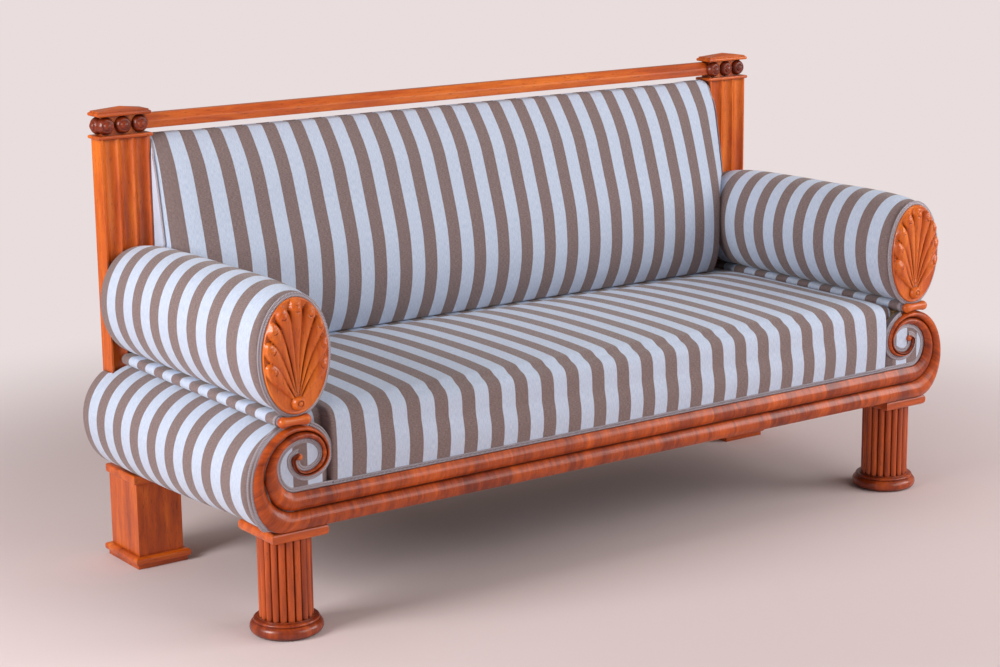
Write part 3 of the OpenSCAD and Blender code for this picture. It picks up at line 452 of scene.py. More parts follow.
def runLengths(points):
    # how far along the run each point lies
    return np.concatenate([[0], np.cumsum(np.linalg.norm(np.diff(points, axis=0), axis=1))])


def unit(vectors):
    return vectors / np.linalg.norm(vectors, axis=1, keepdims=True)


def readAt(table, at):
    # the value at a place in a table of (place, value) rows
    places, values = zip(*table)
    return np.interp(at, places, values)


def evenly(points, count, closed=False):
    # the same run with its points at even distances
    pts = np.array(points, float)
    if closed:
        pts = np.vstack([pts, pts[:1]])
    lengths = runLengths(pts)
    at = np.linspace(0, lengths[-1], count + 1 if closed else count)
    even = np.stack([np.interp(at, lengths, pts[:, i]) for i in range(pts.shape[1])], 1)
    return even[:-1] if closed else even


def onTurn(turns, k, share):
    # a point on quarter turn k of a run of quarter ovals between the given points
    (px, pz), (qx, qz) = turns[k], turns[k + 1]
    a = share * math.pi / 2
    if k % 2 == 0:
        return px + (qx - px) * math.sin(a), qz + (pz - qz) * math.cos(a)
    return qx + (px - qx) * math.cos(a), pz + (qz - pz) * math.sin(a)


def edgeRun(kind, first, last, steps):
    # one edge of the scroll over its quarter turns, outward and up from the eye
    run = [onTurn(scroll[kind], k, s / steps) for k in range(first, last + 1) for s in range(steps)]
    run.append(scroll[kind][last + 1])
    return [(x * scroll["drop"], z * scroll["drop"]) for x, z in run]


def outTo(side, x, y, z):
    # a point given outward and up from the eye of the scroll at one end
    return (side * (place["eyeX"] + x), y, eyeZ + z)


def finishPiece(piece, finish, slot, *stoodFor):
    piece.data.materials.clear()
    piece.data.materials.append(finishes[finish])
    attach(piece, "root")
    if stoodFor:
        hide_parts(*stoodFor)
    return piece


# Camera at the photograph's place, looking down along the sofa from the left
camera = {
    "at": (-2.98578, -4.07065, 1.59681),
    "yaw": 0.6168069,
    "pitch": 0.2234862,
    "roll": -0.0114724,
    "lens": 80.513,
}


def makeCamera():
    yaw, pitch, roll = camera["yaw"], camera["pitch"], camera["roll"]
    ahead = Vector((math.sin(yaw) * math.cos(pitch), math.cos(yaw) * math.cos(pitch), -math.sin(pitch)))
    right = Vector((math.cos(yaw), -math.sin(yaw), 0))
    up = right.cross(ahead)
    tilted = math.cos(roll) * right + math.sin(roll) * up
    raised = -math.sin(roll) * right + math.cos(roll) * up
    data = bpy.data.cameras.new("camera")
    data.sensor_width = 36
    data.lens = camera["lens"]
    data.clip_end = 100
    shown = placed("camera", data)
    matrix = shown.matrix_world.copy()
    for row in range(3):
        matrix[row][0], matrix[row][1], matrix[row][2] = tilted[row], raised[row], -ahead[row]
        matrix[row][3] = camera["at"][row]
    shown.matrix_world = matrix
    bpy.context.scene.camera = shown


# A pale floor without an edge, a low light from the left, three softer ones and a dim room
studio = {
    "floor": paint(226, 209, 208),
    "farFloor": paint(233, 221, 221),
    "floorSize": 60,
    "floorParts": 24,
    "fadeFrom": 1.15,  # from the middle of the sofa, in metres
    "fadeTo": 2.5,
    "room": paint(228, 219, 215),
    "roomLight": 0.36,
    "lamps": [
        ("windowLight", (-3.3, -0.2, 1.6), (0, 0, 0.45), 1.2, 72),
        ("rightLight", (3.2, -2.2, 2.0), (0, 0, 0.45), 2.0, 68),
        ("fillLight", (1.6, -4.4, 2.4), (0, 0, 0.45), 2.5, 66),
        ("topLight", (0.3, 0.4, 4.2), (0, 0, 0.45), 3.4, 26),
    ],
}


def lamp(name, at, target, size, power):
    data = bpy.data.lights.new(name, "AREA")
    data.shape = "SQUARE"
    data.size = size
    data.energy = power
    shown = placed(name, data)
    shown.location = at
    shown.rotation_mode = "QUATERNION"
    shown.rotation_quaternion = (Vector(target) - Vector(at)).to_track_quat("-Z", "Y")


def makeStudio():
    bpy.ops.object.select_all(action="DESELECT")
    parts, size = studio["floorParts"], studio["floorSize"]
    bpy.ops.mesh.primitive_grid_add(x_subdivisions=parts, y_subdivisions=parts, size=size, location=(0, 0, 0))
    floor = bpy.context.object
    floor.name = "studioFloor"
    finish = Finish("studioFloor", Roughness=0.9, Specular_IOR_Level=0.1)
    spot = finish.spot()
    darker = tuple(c * 0.97 for c in studio["floor"][:3]) + (1,)
    finish.set(Base_Color=finish.mix(finish.noise(spot, 0.35, 1.0), studio["floor"], darker))
    # far from the sofa the camera sees the backdrop's own pale colour
    away = finish.node("VectorMath", {"operation": "LENGTH"}, {0: spot}, output=1)
    seen = finish.node("LightPath", output="Is Camera Ray")
    backdrop = finish.node("Emission", inputs={"Color": studio["farFloor"], "Strength": 1.0})
    lit = Wire(finish, finish.shader.outputs[0])
    share = finish.smooth(away, studio["fadeFrom"], studio["fadeTo"]) * seen
    both = finish.node("MixShader", inputs={0: share, 1: lit, 2: backdrop})
    finish.feed(finish.tree.nodes["Material Output"].inputs["Surface"], both)
    floor.data.materials.append(finish.material)
    world = bpy.data.worlds.new("studio")
    bpy.context.scene.world = world
    world.use_nodes = True
    background = world.node_tree.nodes["Background"]
    background.inputs["Color"].default_value = studio["room"]
    background.inputs["Strength"].default_value = studio["roomLight"]
    for row in studio["lamps"]:
        lamp(*row)


makeCamera()
makeStudio()
bpy.context.scene.view_settings.view_transform = "Standard"
print("camera and studio made")


# Front rail and both scrolls: one double moulding that narrows into the eye of each scroll
def bandDepth(share, size):
    # how far back a band's surface lies, share of the way from its outer edge to the groove
    hollow = scroll["grooveSink"] * scroll["swell"] * size * share
    cut = scroll["grooveCut"] * size * math.exp(-((1 - share) / scroll["cutWide"]) ** 2)
    swell = scroll["swell"] * size * math.sin(math.pi * share)
    return place["frontY"] - scroll["edgeOut"] + hollow + cut - swell


def mouldingSection(outer, groove, inner):
    # points over the section as (outward, y, up) with their distance from the groove
    outer, groove, inner = (np.array(p) for p in (outer, groove, inner))
    low = np.linalg.norm(groove - outer)
    high = np.linalg.norm(inner - groove)
    sizeLow = math.sqrt(low / scroll["bandHeight"])
    sizeHigh = math.sqrt(high / (scroll["railHeight"] - scroll["bandHeight"]))
    steps = scroll["bandSteps"]
    shares = [(1 - math.cos(math.pi * i / steps)) / 2 for i in range(steps + 1)]
    points, across = [(outer[0], groundY, outer[1])], [-low - scroll["thickness"]]
    for share in shares:
        p = outer + (groove - outer) * share
        points.append((p[0], bandDepth(share, sizeLow), p[1]))
        across.append(-low * (1 - share))
    for share in reversed(shares[:-1]):
        p = groove + (inner - groove) * (1 - share)
        points.append((p[0], bandDepth(share, sizeHigh), p[1]))
        across.append(high * (1 - share))
    points.append((inner[0], groundY, inner[1]))
    across.append(high + scroll["thickness"])
    return points, across


def makeMoulding():
    drop, rail, band = scroll["drop"], scroll["railHeight"], scroll["bandHeight"]
    rows = []
    for i in range(scroll["straightSteps"]):
        x = -place["eyeX"] + (place["eyeX"] - scroll["jointIn"]) * i / (scroll["straightSteps"] - 1)
        rows.append(((x, -drop), (x, band - drop), (x, rail - drop)))
    edges = [edgeRun(kind, 0, 5, scroll["turnSteps"]) for kind in ("outer", "groove", "inner")]
    rows += list(zip(*edges))
    sections = [mouldingSection(*row) for row in rows]
    grooves = np.array([row[1] for row in rows])
    lengths = runLengths(grooves)
    rings, maps = [], []
    for side in (-1, 1):
        order = range(len(rows) - 1, 0, -1) if side < 0 else range(len(rows))
        for k in order:
            points, across = sections[k]
            rings.append([outTo(side, *p) for p in points])
            maps.append([(side * lengths[k], v) for v in across + [across[0]]])
    moulding = loft("frontMoulding", rings, "run", maps)
    tidyMesh(moulding, 46)
    stoodFor = ("front_rail_moulding", "scroll_moulding_left", "scroll_moulding_right")
    finishPiece(moulding, "veneer", "cherry_wood", *stoodFor)


def turned(name, profile, centre, axis, steps=48):
    # a profile of (radius, height) points spun about an axis, closed where its radius is zero
    axis = Vector(axis).normalized()
    aside = axis.orthogonal().normalized()
    mesh = bpy.data.meshes.new(name)
    points = [Vector(centre) + aside * r + axis * h for r, h in profile]
    mesh.from_pydata([tuple(p) for p in points], [(i, i + 1) for i in range(len(points) - 1)], [])
    piece = placed(name, mesh)
    choose(piece)
    bpy.ops.object.mode_set(mode="EDIT")
    bpy.ops.mesh.select_all(action="SELECT")
    bpy.ops.mesh.spin(steps=steps, angle=2 * math.pi, center=centre, axis=axis)
    bpy.ops.object.mode_set(mode="OBJECT")
    tidyMesh(piece, 50, 0.00002)
    return piece


def joined(name, pieces):
    bpy.ops.object.select_all(action="DESELECT")
    for piece in pieces:
        piece.select_set(True)
    bpy.context.view_layer.objects.active = pieces[0]
    bpy.ops.object.join()
    pieces[0].name = name
    return pieces[0]


# Turned buttons in the eyes of the scrolls
eyeButton = {"radius": 0.0068, "height": 0.0178}


def makeEyes():
    r, h = eyeButton["radius"], eyeButton["height"]
    profile = [(0, 0), (r, 0), (r, h * 0.74), (r * 0.93, h * 0.83), (r * 0.7, h * 0.86), (r * 0.62, h * 0.93),
               (r * 0.4, h * 0.99), (0, h)]
    for name, side in ends.items():
        eye = turned("scrollEye_" + name, profile, (side * place["eyeX"], groundY, eyeZ), (0, -1, 0), 40)
        finishPiece(eye, "turned", "turned_wood")


# Half balls of the capitals, each with a turned groove around a small button
capitalBall = {
    "sink": 0.003,
    "gap": 0.0005,
    "inset": 0.0006,
    "grooveAt": 34,  # in degrees from the top
    "grooveWide": 5.5,
    "grooveDeep": 0.0022,
    "buttonTo": 16,
    "button": 0.0012,
    "steps": 40,
}


def makeCapitalBalls():
    blockLow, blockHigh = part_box("capital_block_right")
    radius = (blockHigh.z - blockLow.z) / 2 - capitalBall["inset"]
    sink, steps = capitalBall["sink"], capitalBall["steps"]
    pitch = 2 * radius + capitalBall["gap"]
    midX, midZ = (blockLow.x + blockHigh.x) / 2, (blockLow.z + blockHigh.z) / 2
    profile = [(0, 0)]
    for i in range(steps + 1):
        fromTop = 90 - 90 * i / steps
        off = (fromTop - capitalBall["grooveAt"]) / capitalBall["grooveWide"]
        groove = capitalBall["grooveDeep"] * math.exp(-off ** 2)
        button = capitalBall["button"] * math.exp(-(fromTop / capitalBall["buttonTo"]) ** 4)
        r = radius - groove + button
        a = math.radians(fromTop)
        profile.append((r * math.sin(a) if i < steps else 0.0, r * math.cos(a)))
    places = []
    for side in ends.values():
        for i in (-1, 0, 1):
            places.append(((side * (midX + i * pitch), blockLow.y + sink, midZ), (0, -1, 0)))
        onSide = (side * (blockHigh.x - sink), (blockLow.y + blockHigh.y) / 2 + sink, midZ)
        places.append((onSide, (side, 0, 0)))
    balls = [turned("ball", profile, at, axis, steps) for at, axis in places]
    finishPiece(joined("capitalBeads", balls), "boss", "turned_wood", "capital_balls")


makeMoulding()
makeEyes()
makeCapitalBalls()
print("mouldings and turned work made")


# Palmette plaques on the front ends of the bolsters
plaque = {
    "plate": 0.008,
    "relief": 0.013,
    "lobeWide": 0.2,
    "tips": [(0, 0.9), (0.44, 0.78), (0.75, 0.55), (0.84, 0.21), (0.8, -0.15)],
    "bends": [(0, 0.2), (0.12, 0.25), (0.3, 0.1), (0.33, -0.28), (0.36, -0.56)],
    "foot": -0.8,
    "swell": [(0, 0.08), (0.15, 0.17), (0.35, 0.36), (0.55, 0.6), (0.72, 0.85), (0.85, 1.0), (0.93, 1.0),
              (1.0, 0.84)],
    "rings": 96,
    "spokes": 240,
    "button": 0.0145,
    "buttonProfile": [(1, -0.1379), (1.04, 0.2), (0.97, 0.5), (0.8, 0.84), (0.62, 1.02), (0.52, 1.04),
                      (0.46, 0.94), (0.36, 0.93), (0.28, 1.06), (0.13, 1.15), (0, 1.17)],
    "knob": 0.0072,
    "halfHigh": 0.1175,
}


def lobeLine(tip, bend, halfWide, halfHigh):
    foot = np.array((0, plaque["foot"] * halfHigh))
    mid = np.array(bend) * (halfWide, halfHigh)
    end = np.array(tip) * (halfWide, halfHigh)
    t = np.linspace(0, 1, 70)[:, None]
    line = (1 - t) ** 2 * foot + 2 * t * (1 - t) * mid + t ** 2 * end
    return line, readAt(plaque["swell"], t[:, 0])


def reliefHeight(x, z, halfWide, halfHigh):
    # height of the carving over the plate: the highest lobe wins, so valleys stay sharp
    height = np.zeros_like(x)
    widest = plaque["lobeWide"] * halfWide
    for i, (tip, bend) in enumerate(zip(plaque["tips"], plaque["bends"])):
        for way in ((1,) if i == 0 else (1, -1)):
            line, swell = lobeLine((tip[0] * way, tip[1]), (bend[0] * way, bend[1]), halfWide, halfHigh)
            shortened = line[:-1] + (line[1:] - line[:-1]) * 0.5
            gap = np.hypot(x[:, None] - shortened[None, :, 0], z[:, None] - shortened[None, :, 1])
            wide = widest * (swell[:-1] + swell[1:]) / 2
            arched = np.sqrt(np.clip(1 - (gap / wide[None, :]) ** 2, 0, None))
            dome = arched * (0.25 + 0.75 * wide / widest)[None, :]
            knobGap = np.hypot(x - line[-5, 0], z - line[-5, 1]) / plaque["knob"]
            knob = 0.72 + 0.4 * np.sqrt(np.clip(1 - knobGap ** 2, 0, None))
            height = np.maximum(height, np.where(knobGap < 1, knob, dome.max(axis=1)))
    return height * plaque["relief"]


def makePlaque(name, side):
    low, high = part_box("arm_plaque_" + name)
    halfWide, centreX = (high.x - low.x) / 2, (high.x + low.x) / 2
    back, halfHigh = high.y, plaque["halfHigh"]
    centreZ = high.z - halfHigh
    shares = [1.0, 1.0, 0.992, 0.978, 0.962, 0.945] + list(np.linspace(0.925, 0.0, plaque["rings"]))
    lifts = [0.0, 0.66, 0.88, 1.0, 0.93, 0.86]
    turn = np.arange(plaque["spokes"]) * 2 * math.pi / plaque["spokes"]
    rings, maps = [], []
    for k, share in enumerate(shares):
        share = max(share, 0.002)
        x, z = share * halfWide * np.cos(turn), share * halfHigh * np.sin(turn)
        lift = plaque["plate"] * (lifts[k] if k < len(lifts) else 0.84) * np.ones_like(x)
        if k >= 3:
            lift = lift + reliefHeight(x, z, halfWide, halfHigh) * min(1.0, (k - 2) / 4)
        rings.append([(centreX + side * x[i], back - lift[i], centreZ + z[i]) for i in range(len(x))])
        maps.append([(x[i % len(x)], z[i % len(x)]) for i in range(len(x) + 1)])
    piece = loft("plaque_" + name, rings, "run", maps)
    tidyMesh(piece, 60)
    r = plaque["button"]
    foot = (centreX, back - plaque["plate"] * 0.6, centreZ + plaque["foot"] * halfHigh)
    profile = [tuple(p) for p in curveThrough([(r * x, r * z) for x, z in plaque["buttonProfile"]], 4)]
    profile = [(0, profile[0][1])] + profile[:-1] + [(0, profile[-1][1])]
    button = turned("button", profile, foot, (0, -1, 0), 44)
    both = joined("plaque_" + name, [piece, button])
    finishPiece(both, "carved", "cherry_wood", "arm_plaque_" + name)


for name, side in ends.items():
    makePlaque(name, side)
print("plaques carved")


# Padded pieces are laid out on an even net of points, so the weave and the stripes keep a map
padding = {
    "net": 0.0105,
    "frames": 20,
    "calm": 30,  # how often the filling is evened out between neighbours
    "cloth": {
        "quality": 4,
        "mass": 0.3,
        "tension_stiffness": 25.0,
        "compression_stiffness": 25.0,
        "shear_stiffness": 10.0,
        "bending_stiffness": 1.5,
        "use_pressure": True,
        "uniform_pressure_force": 3.0,
        "vertex_group_mass": "tacked",
    },
}


def meshPoints(mesh, kind="co"):
    values = np.empty(len(mesh.vertices) * 3)
    mesh.vertices.foreach_get(kind, values)
    return values.reshape(-1, 3)


def stuff(piece, tacked, cap):
    # fills a cover against its tacked edges with a short cloth simulation; the filling evens out
    # small waves, and no point moves past cap
    rest, out = meshPoints(piece.data), meshPoints(piece.data, "normal")
    group = piece.vertex_groups.new(name="tacked")
    fixed = tacked(rest)
    group.add([int(i) for i in np.nonzero(fixed)[0]], 1.0, "REPLACE")
    choose(piece)
    cloth = piece.modifiers.new("stuffing", "CLOTH")
    for key, value in padding["cloth"].items():
        setattr(cloth.settings, key, value)
    cloth.settings.effector_weights.gravity = 0
    cloth.collision_settings.use_collision = False
    cloth.point_cache.frame_start, cloth.point_cache.frame_end = 1, padding["frames"]
    scene = bpy.context.scene
    for step in range(1, padding["frames"] + 1):
        scene.frame_set(step)
    bpy.ops.object.modifier_apply(modifier="stuffing")
    scene.frame_set(1)
    mesh = piece.data
    lift = ((meshPoints(mesh) - rest) * out).sum(axis=1)
    pairs = np.empty(len(mesh.edges) * 2, dtype=np.int32)
    mesh.edges.foreach_get("vertices", pairs)
    first, second = pairs.reshape(-1, 2).T
    beside = np.bincount(pairs, minlength=len(lift))
    for _ in range(padding["calm"]):
        lift[fixed] = 0
        around = np.bincount(first, lift[second], len(lift)) + np.bincount(second, lift[first], len(lift))
        lift = (lift + around / beside) / 2
    lift = np.clip(lift, -cap, cap)
    mesh.vertices.foreach_set("co", (rest + out * lift[:, None]).ravel())
    mesh.update()
    piece.vertex_groups.clear()
    print(piece.name, "stuffed, moved up to", round(float(lift.max()) * 1000, 1), "mm")


def makeCover(name, rings, maps, kind, tacked):
    # a stuffed cover over rings of points
    piece = loft(name, rings, "cloth", maps)
    tidyMesh(piece)
    stuff(piece, tacked, kind["cap"])
    choose(piece)
    net = piece.modifiers.new("finer", "SUBSURF")
    net.levels = net.render_levels = 1
    bpy.ops.object.modifier_apply(modifier="finer")
    bpy.ops.object.shade_smooth()
    return piece


def netMaps(rings, across):
    # v along each ring in metres, u given for each ring
    return [[(u, float(v)) for v in runLengths(np.array(ring + [ring[0]]))] for u, ring in zip(across, rings)]


def softMin(a, b, k):
    # the smaller of two values, with the change between them rounded over k
    h = np.clip(0.5 + 0.5 * (b - a) / k, 0, 1)
    return b * (1 - h) + a * h - k * h * (1 - h)


def ease(low, high, value):
    # 0 at low, 1 at high, and level at both
    t = np.clip((value - low) / (high - low), 0, 1)
    return t * t * (3 - 2 * t)


# Seat: a boxed border in front, a crown, and a flat strip under the back cushion
seat = {
    "section": [(0, 0), (-0.0012, 0.065), (-0.0035, 0.29), (-0.0035, 0.55), (-0.001, 0.75), (0.0085, 0.862),
                (0.032, 0.925), (0.088, 0.961), (0.22, 0.99), (0.43, 1.0), (0.63, 0.985), (0.78, 0.945),
                (0.87, 0.887)],
    "level": 0.887,
    "sides": [(0, 0.8), (0.017, 0.865), (0.04, 0.91), (0.06, 0.93), (0.1, 0.975), (0.25, 1.0)],
    "front": 0.01,
    "board": 0.0183,
    "edge": [-0.007, -0.0052, -0.0035, -0.0018, 0, 0.004],  # columns at the end of the boxed border
    "tackedLow": 0.016,
    "tackedBack": 0.09,
    "tackedSide": 0.012,
    "cap": 0.004,
    "rows": {"border": 84, "strip": 9, "down": 12, "under": 34},
    "stripes": (0.0247, 0.0682),
}


def makeSeat():
    low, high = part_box("seat_cushion")
    front, back = groundY - seat["front"], high.y
    boardBack = groundY + seat["board"]
    rise, half = high.z - low.z, high.x
    inside = place["eyeX"] - 0.463 * scroll["drop"]
    rows, depth, level = seat["rows"], back - front, seat["level"] * rise
    border = evenly(curveThrough(seat["section"], 10), 78)
    border = evenly([(p[0] * depth, p[1] * rise) for p in border], rows["border"])
    strip = seat["section"][-1][0]
    flat = [((strip + (1 - strip) * i / rows["strip"]) * depth, level) for i in range(1, rows["strip"] + 1)]
    down = [(depth, level * (1 - i / rows["down"])) for i in range(1, rows["down"] + 1)]
    under = [(depth * (1 - i / rows["under"]), 0) for i in range(1, rows["under"])]
    section = np.array([tuple(p) for p in border] + flat + down + under)
    reach = math.floor(inside / padding["net"])
    columns = [x for x in np.arange(-reach, reach + 1) * padding["net"] if abs(x) < inside - 0.01]
    edge = [inside + x for x in seat["edge"]] + list(np.linspace(inside + 0.011, half, 5))
    columns = [-x for x in reversed(edge)] + columns + edge
    capRun = np.array(curveThrough(seat["sides"], 8))
    rings, across = [], []
    for x in columns:
        cap = readAt(capRun, 1 - abs(x) / half)
        start = front + (boardBack - front) * float(ease(inside + seat["edge"][0], inside, abs(x)))
        forward = section[:, 0] / depth
        if start > front + 0.0001:
            forward = np.maximum(forward, 0)
        free = section[:, 1] / rise
        height = softMin(free, cap + 0.012, 0.05) if cap < 0.999 else free
        height = np.where(free < 0.6, free, height)
        ring = [(x, start + f * (back - start), low.z + max(0.0, h) * rise) for f, h in zip(forward, height)]
        rings.append(ring)
        across.append(acrossStripes(x, seat["stripes"]))
    piece = makeCover("seatCover", rings, netMaps(rings, across), seat,
                      lambda p: (p[:, 2] < low.z + seat["tackedLow"]) | (p[:, 1] > back - seat["tackedBack"])
                      | (np.abs(p[:, 0]) > inside - seat["tackedSide"]))
    finishPiece(piece, "rep", "striped_fabric", "seat_cushion")


# Back cushion: swells towards the seat, drawn in at the posts and pressed in by the bolsters
back = {
    "outline": [(-0.08, 0.996), (0.09, 0.947), (0.325, 0.86), (0.51, 0.737), (0.665, 0.62), (0.805, 0.509),
                (0.92, 0.384), (0.96, 0.24), (0.87, 0.11), (0.59, 0.0)],
    "kept": [(0, 1.0), (0.08, 0.4), (0.18, 0.1), (0.3, 0.0), (1, 0.0)],
    "across": [(0, 1.0), (0.5, 0.98), (0.78, 0.935), (0.88, 0.89), (0.92, 0.85), (0.966, 0.72), (1.0, 0.52)],
    "swell": 0.129,
    "round": 0.01,
    "cornerLift": 0.004,
    "liftOver": (0.66, 0.74),  # where the top rises towards the posts, from the middle
    "liftEnd": 0.016,
    "fold": 0.003,  # half the way over which the bolsters press the cushion in
    "tackedLow": 0.02,
    "tackedSide": 0.012,
    "cap": 0.004,
    "rows": {"front": 62, "crest": 4, "rear": 30},
    "columns": {"middle": 74, "fold": 4, "end": 8},
    "stripes": (0.0385, 0.0692),
}


def bolsterOval(name="right"):
    # middle and half sizes of a bolster where it meets the back
    low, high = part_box("arm_bolster_" + name)
    plaqueLow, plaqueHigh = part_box("arm_plaque_" + name)
    return (low.x + high.x) / 2, (plaqueLow.z + plaqueHigh.z) / 2, (high.x - low.x) / 2, bolster["high"] / 2


def makeBack():
    # gives back the run up the cushion's edge at the right post, as points (x, y, z)
    low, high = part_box("back_cushion")
    frameLow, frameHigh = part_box("back_frame")
    frameBack, frameTop, plane = frameHigh.y, frameHigh.z + 0.0003, frameLow.y - 0.0003
    ovalX, ovalZ, ovalWide, ovalHigh = bolsterOval()
    bolsterIn = ovalX - ovalWide
    height, half = high.z - low.z, high.x
    outline = np.array([(s * back["swell"], h * height) for s, h in back["outline"]][::-1])
    rows, net = back["rows"], back["columns"]
    outline = evenly(curveThrough(outline, 12), rows["front"])
    acrossRun = np.array(curveThrough(back["across"], 6))
    fold = back["fold"]
    columns = list(np.linspace(0, bolsterIn - fold * 2, net["middle"]))
    columns += list(np.linspace(bolsterIn - fold, bolsterIn + fold, net["fold"]))
    columns += list(np.linspace(bolsterIn + 0.008, half, net["end"]))
    columns = [-x for x in reversed(columns[1:])] + columns
    rings, across = [], []
    for x in columns:
        keep = readAt(acrossRun, abs(x) / half)
        pressed = float(ease(bolsterIn - fold, bolsterIn + fold, abs(x)))
        ovalTop = ovalZ + ovalHigh * math.sqrt(max(0.0, 1 - ((ovalX - abs(x)) / ovalWide) ** 2))
        ring = []
        for s, h in outline:
            kept = keep + (1 - keep) * readAt(back["kept"], h / height)
            y = plane - s * (kept if s > 0 else 1)
            held = pressed * float(1 - ease(ovalTop + 0.002, ovalTop + 0.02, low.z + h))
            ring.append((x, y + (max(y, place["postFront"] + 0.0006) - y) * held, low.z + h))
        raised = ease(*back["liftOver"], abs(x)) * (1 - ease(half - back["liftEnd"], half, abs(x)))
        lift = back["cornerLift"] * float(raised)
        ring = [(px, py, pz + lift * ((pz - low.z) / height) ** 6) for px, py, pz in ring]
        top = ring[-1]
        crown = high.z + lift
        r = back["round"]
        crest = [(x, top[1] + (frameBack - r - top[1]) * share,
                  top[2] + (crown - top[2]) * math.sin(math.pi / 2 * share))
                 for share in (i / rows["crest"] for i in range(1, rows["crest"] + 1))]
        corner = [(x, frameBack - r + r * math.sin(a), crown - r + r * math.cos(a))
                  for a in (math.radians(30 * i) for i in (1, 2, 3))]
        rear = [(x, frameBack, frameTop)]
        rear += [(x, plane, z) for z in np.linspace(frameTop, low.z, rows["rear"] + 1)]
        rings.append(ring + crest + corner + rear)
        across.append(acrossStripes(x, back["stripes"]))
    piece = makeCover("backCover", rings, netMaps(rings, across), back,
                      lambda p: (p[:, 1] > plane - 0.004) | (p[:, 2] < low.z + back["tackedLow"])
                      | (np.abs(p[:, 0]) > bolsterIn - back["tackedSide"]))
    finishPiece(piece, "rep", "striped_fabric", "back_cushion")
    return rings[-1][:len(outline)]


# Bolsters: oval rolls whose cover turns over the front edge up to the plaque
bolster = {
    "along": [(-0.001, 0.55, 0), (-0.0012, 0.78, 0), (0.0, 0.84, 0.02), (0.004, 0.885, 0.1), (0.012, 0.92, 0.22),
              (0.024, 0.945, 0.36), (0.042, 0.966, 0.52), (0.1, 0.99, 0.8), (0.25, 1.0, 1.0), (0.55, 1.0, 1.0),
              (0.82, 1.0, 0.8), (0.95, 0.995, 0.3), (0.985, 0.975, 0.0), (0.999, 0.93, -0.1), (1.0, 0.5, -0.1)],
    "spread": 0.02,  # how much the crown counts where the rings are spaced
    "tacked": 0.012,
    "high": 0.237,
    "crown": 0.019,
    "wide": 0.186,
    "around": 80,
    "rings": 74,
    "cap": 0.003,
    "stripes": {"left": (-0.0085, 0.082), "right": (-0.0088, 0.0725)},  # from the axis of the front columns
}


def makeBolster(name, side):
    low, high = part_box("arm_bolster_" + name)
    centreX = (low.x + high.x) / 2
    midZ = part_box("arm_plaque_" + name)[1].z - plaque["halfHigh"]
    front, length = low.y, high.y - low.y
    halfWide, spread = bolster["wide"] / 2, bolster["spread"]
    alongRun = curveThrough(bolster["along"], 8)
    run = [(at * length, wide * halfWide, crown * spread) for at, wide, crown in alongRun]
    run = evenly(run, bolster["rings"])
    lengths = runLengths(run[:, :2])
    axisAt = np.interp(place["frontY"] - front, run[:, 0], lengths)
    turn = [-math.pi / 2 + 2 * math.pi * i / bolster["around"] for i in range(bolster["around"] + 1)]
    mean = (bolster["wide"] + bolster["high"]) / 4
    rings, maps = [], []
    for (y, wide, crownPart), reached in zip(run, lengths):
        crown = crownPart / spread * bolster["crown"]
        share = wide / halfWide
        if share >= 0.9:
            share += (1 - share) * 0.9
        tall = (bolster["high"] * share + crown) / 2
        midHigh = midZ + crown / 2
        rings.append([(centreX + side * wide * math.cos(a), front + y, midHigh + tall * math.sin(a))
                      for a in turn[:-1]])
        u = acrossStripes(reached - axisAt, bolster["stripes"][name])
        maps.append([(u, mean * (a - turn[0])) for a in turn])
    piece = makeCover("bolster_" + name, rings, maps, bolster,
                      lambda p: (p[:, 1] < front + 0.004) | (p[:, 1] > high.y - bolster["tacked"])
                      | (p[:, 2] < low.z + bolster["tacked"]))
    finishPiece(piece, "rep", "striped_fabric", "arm_bolster_" + name)


# Side rolls under the bolsters; the left one turns in around the edge of its scroll
sideRoll = {
    "reach": 0.127,
    "topOut": 0.0143,
    "front": {"left": [(0, 0.25), (0.12, 0.55), (0.35, 0.82), (0.65, 0.96), (1, 1)],
              "right": [(0, 0.1), (0.3, 0.62), (0.65, 0.9), (1, 1)]},
    "taper": {"left": 0.025, "right": 0.06},
    "lead": {"left": 0.0135, "right": 0.0},  # how far the cloth laps over the outer edge of the moulding
    "lap": 0.993,
    "end": 0.008,  # how far the rear end is rounded, and by how much it is drawn in
    "drawnIn": 0.006,
    "columns": [0.0, 0.001, 0.0025, 0.0045, 0.0075, 0.0105, 0.0132, 0.0138, 0.018, 0.0225, 0.028, 0.037, 0.047],
    "steps": 24,
    "around": 62,
    "wall": 14,
    "sag": 0.0192,  # how far the underside hangs below the rail over the rear pier
    "cap": 0.003,
    "stripes": (-0.0168, 0.0802),
}


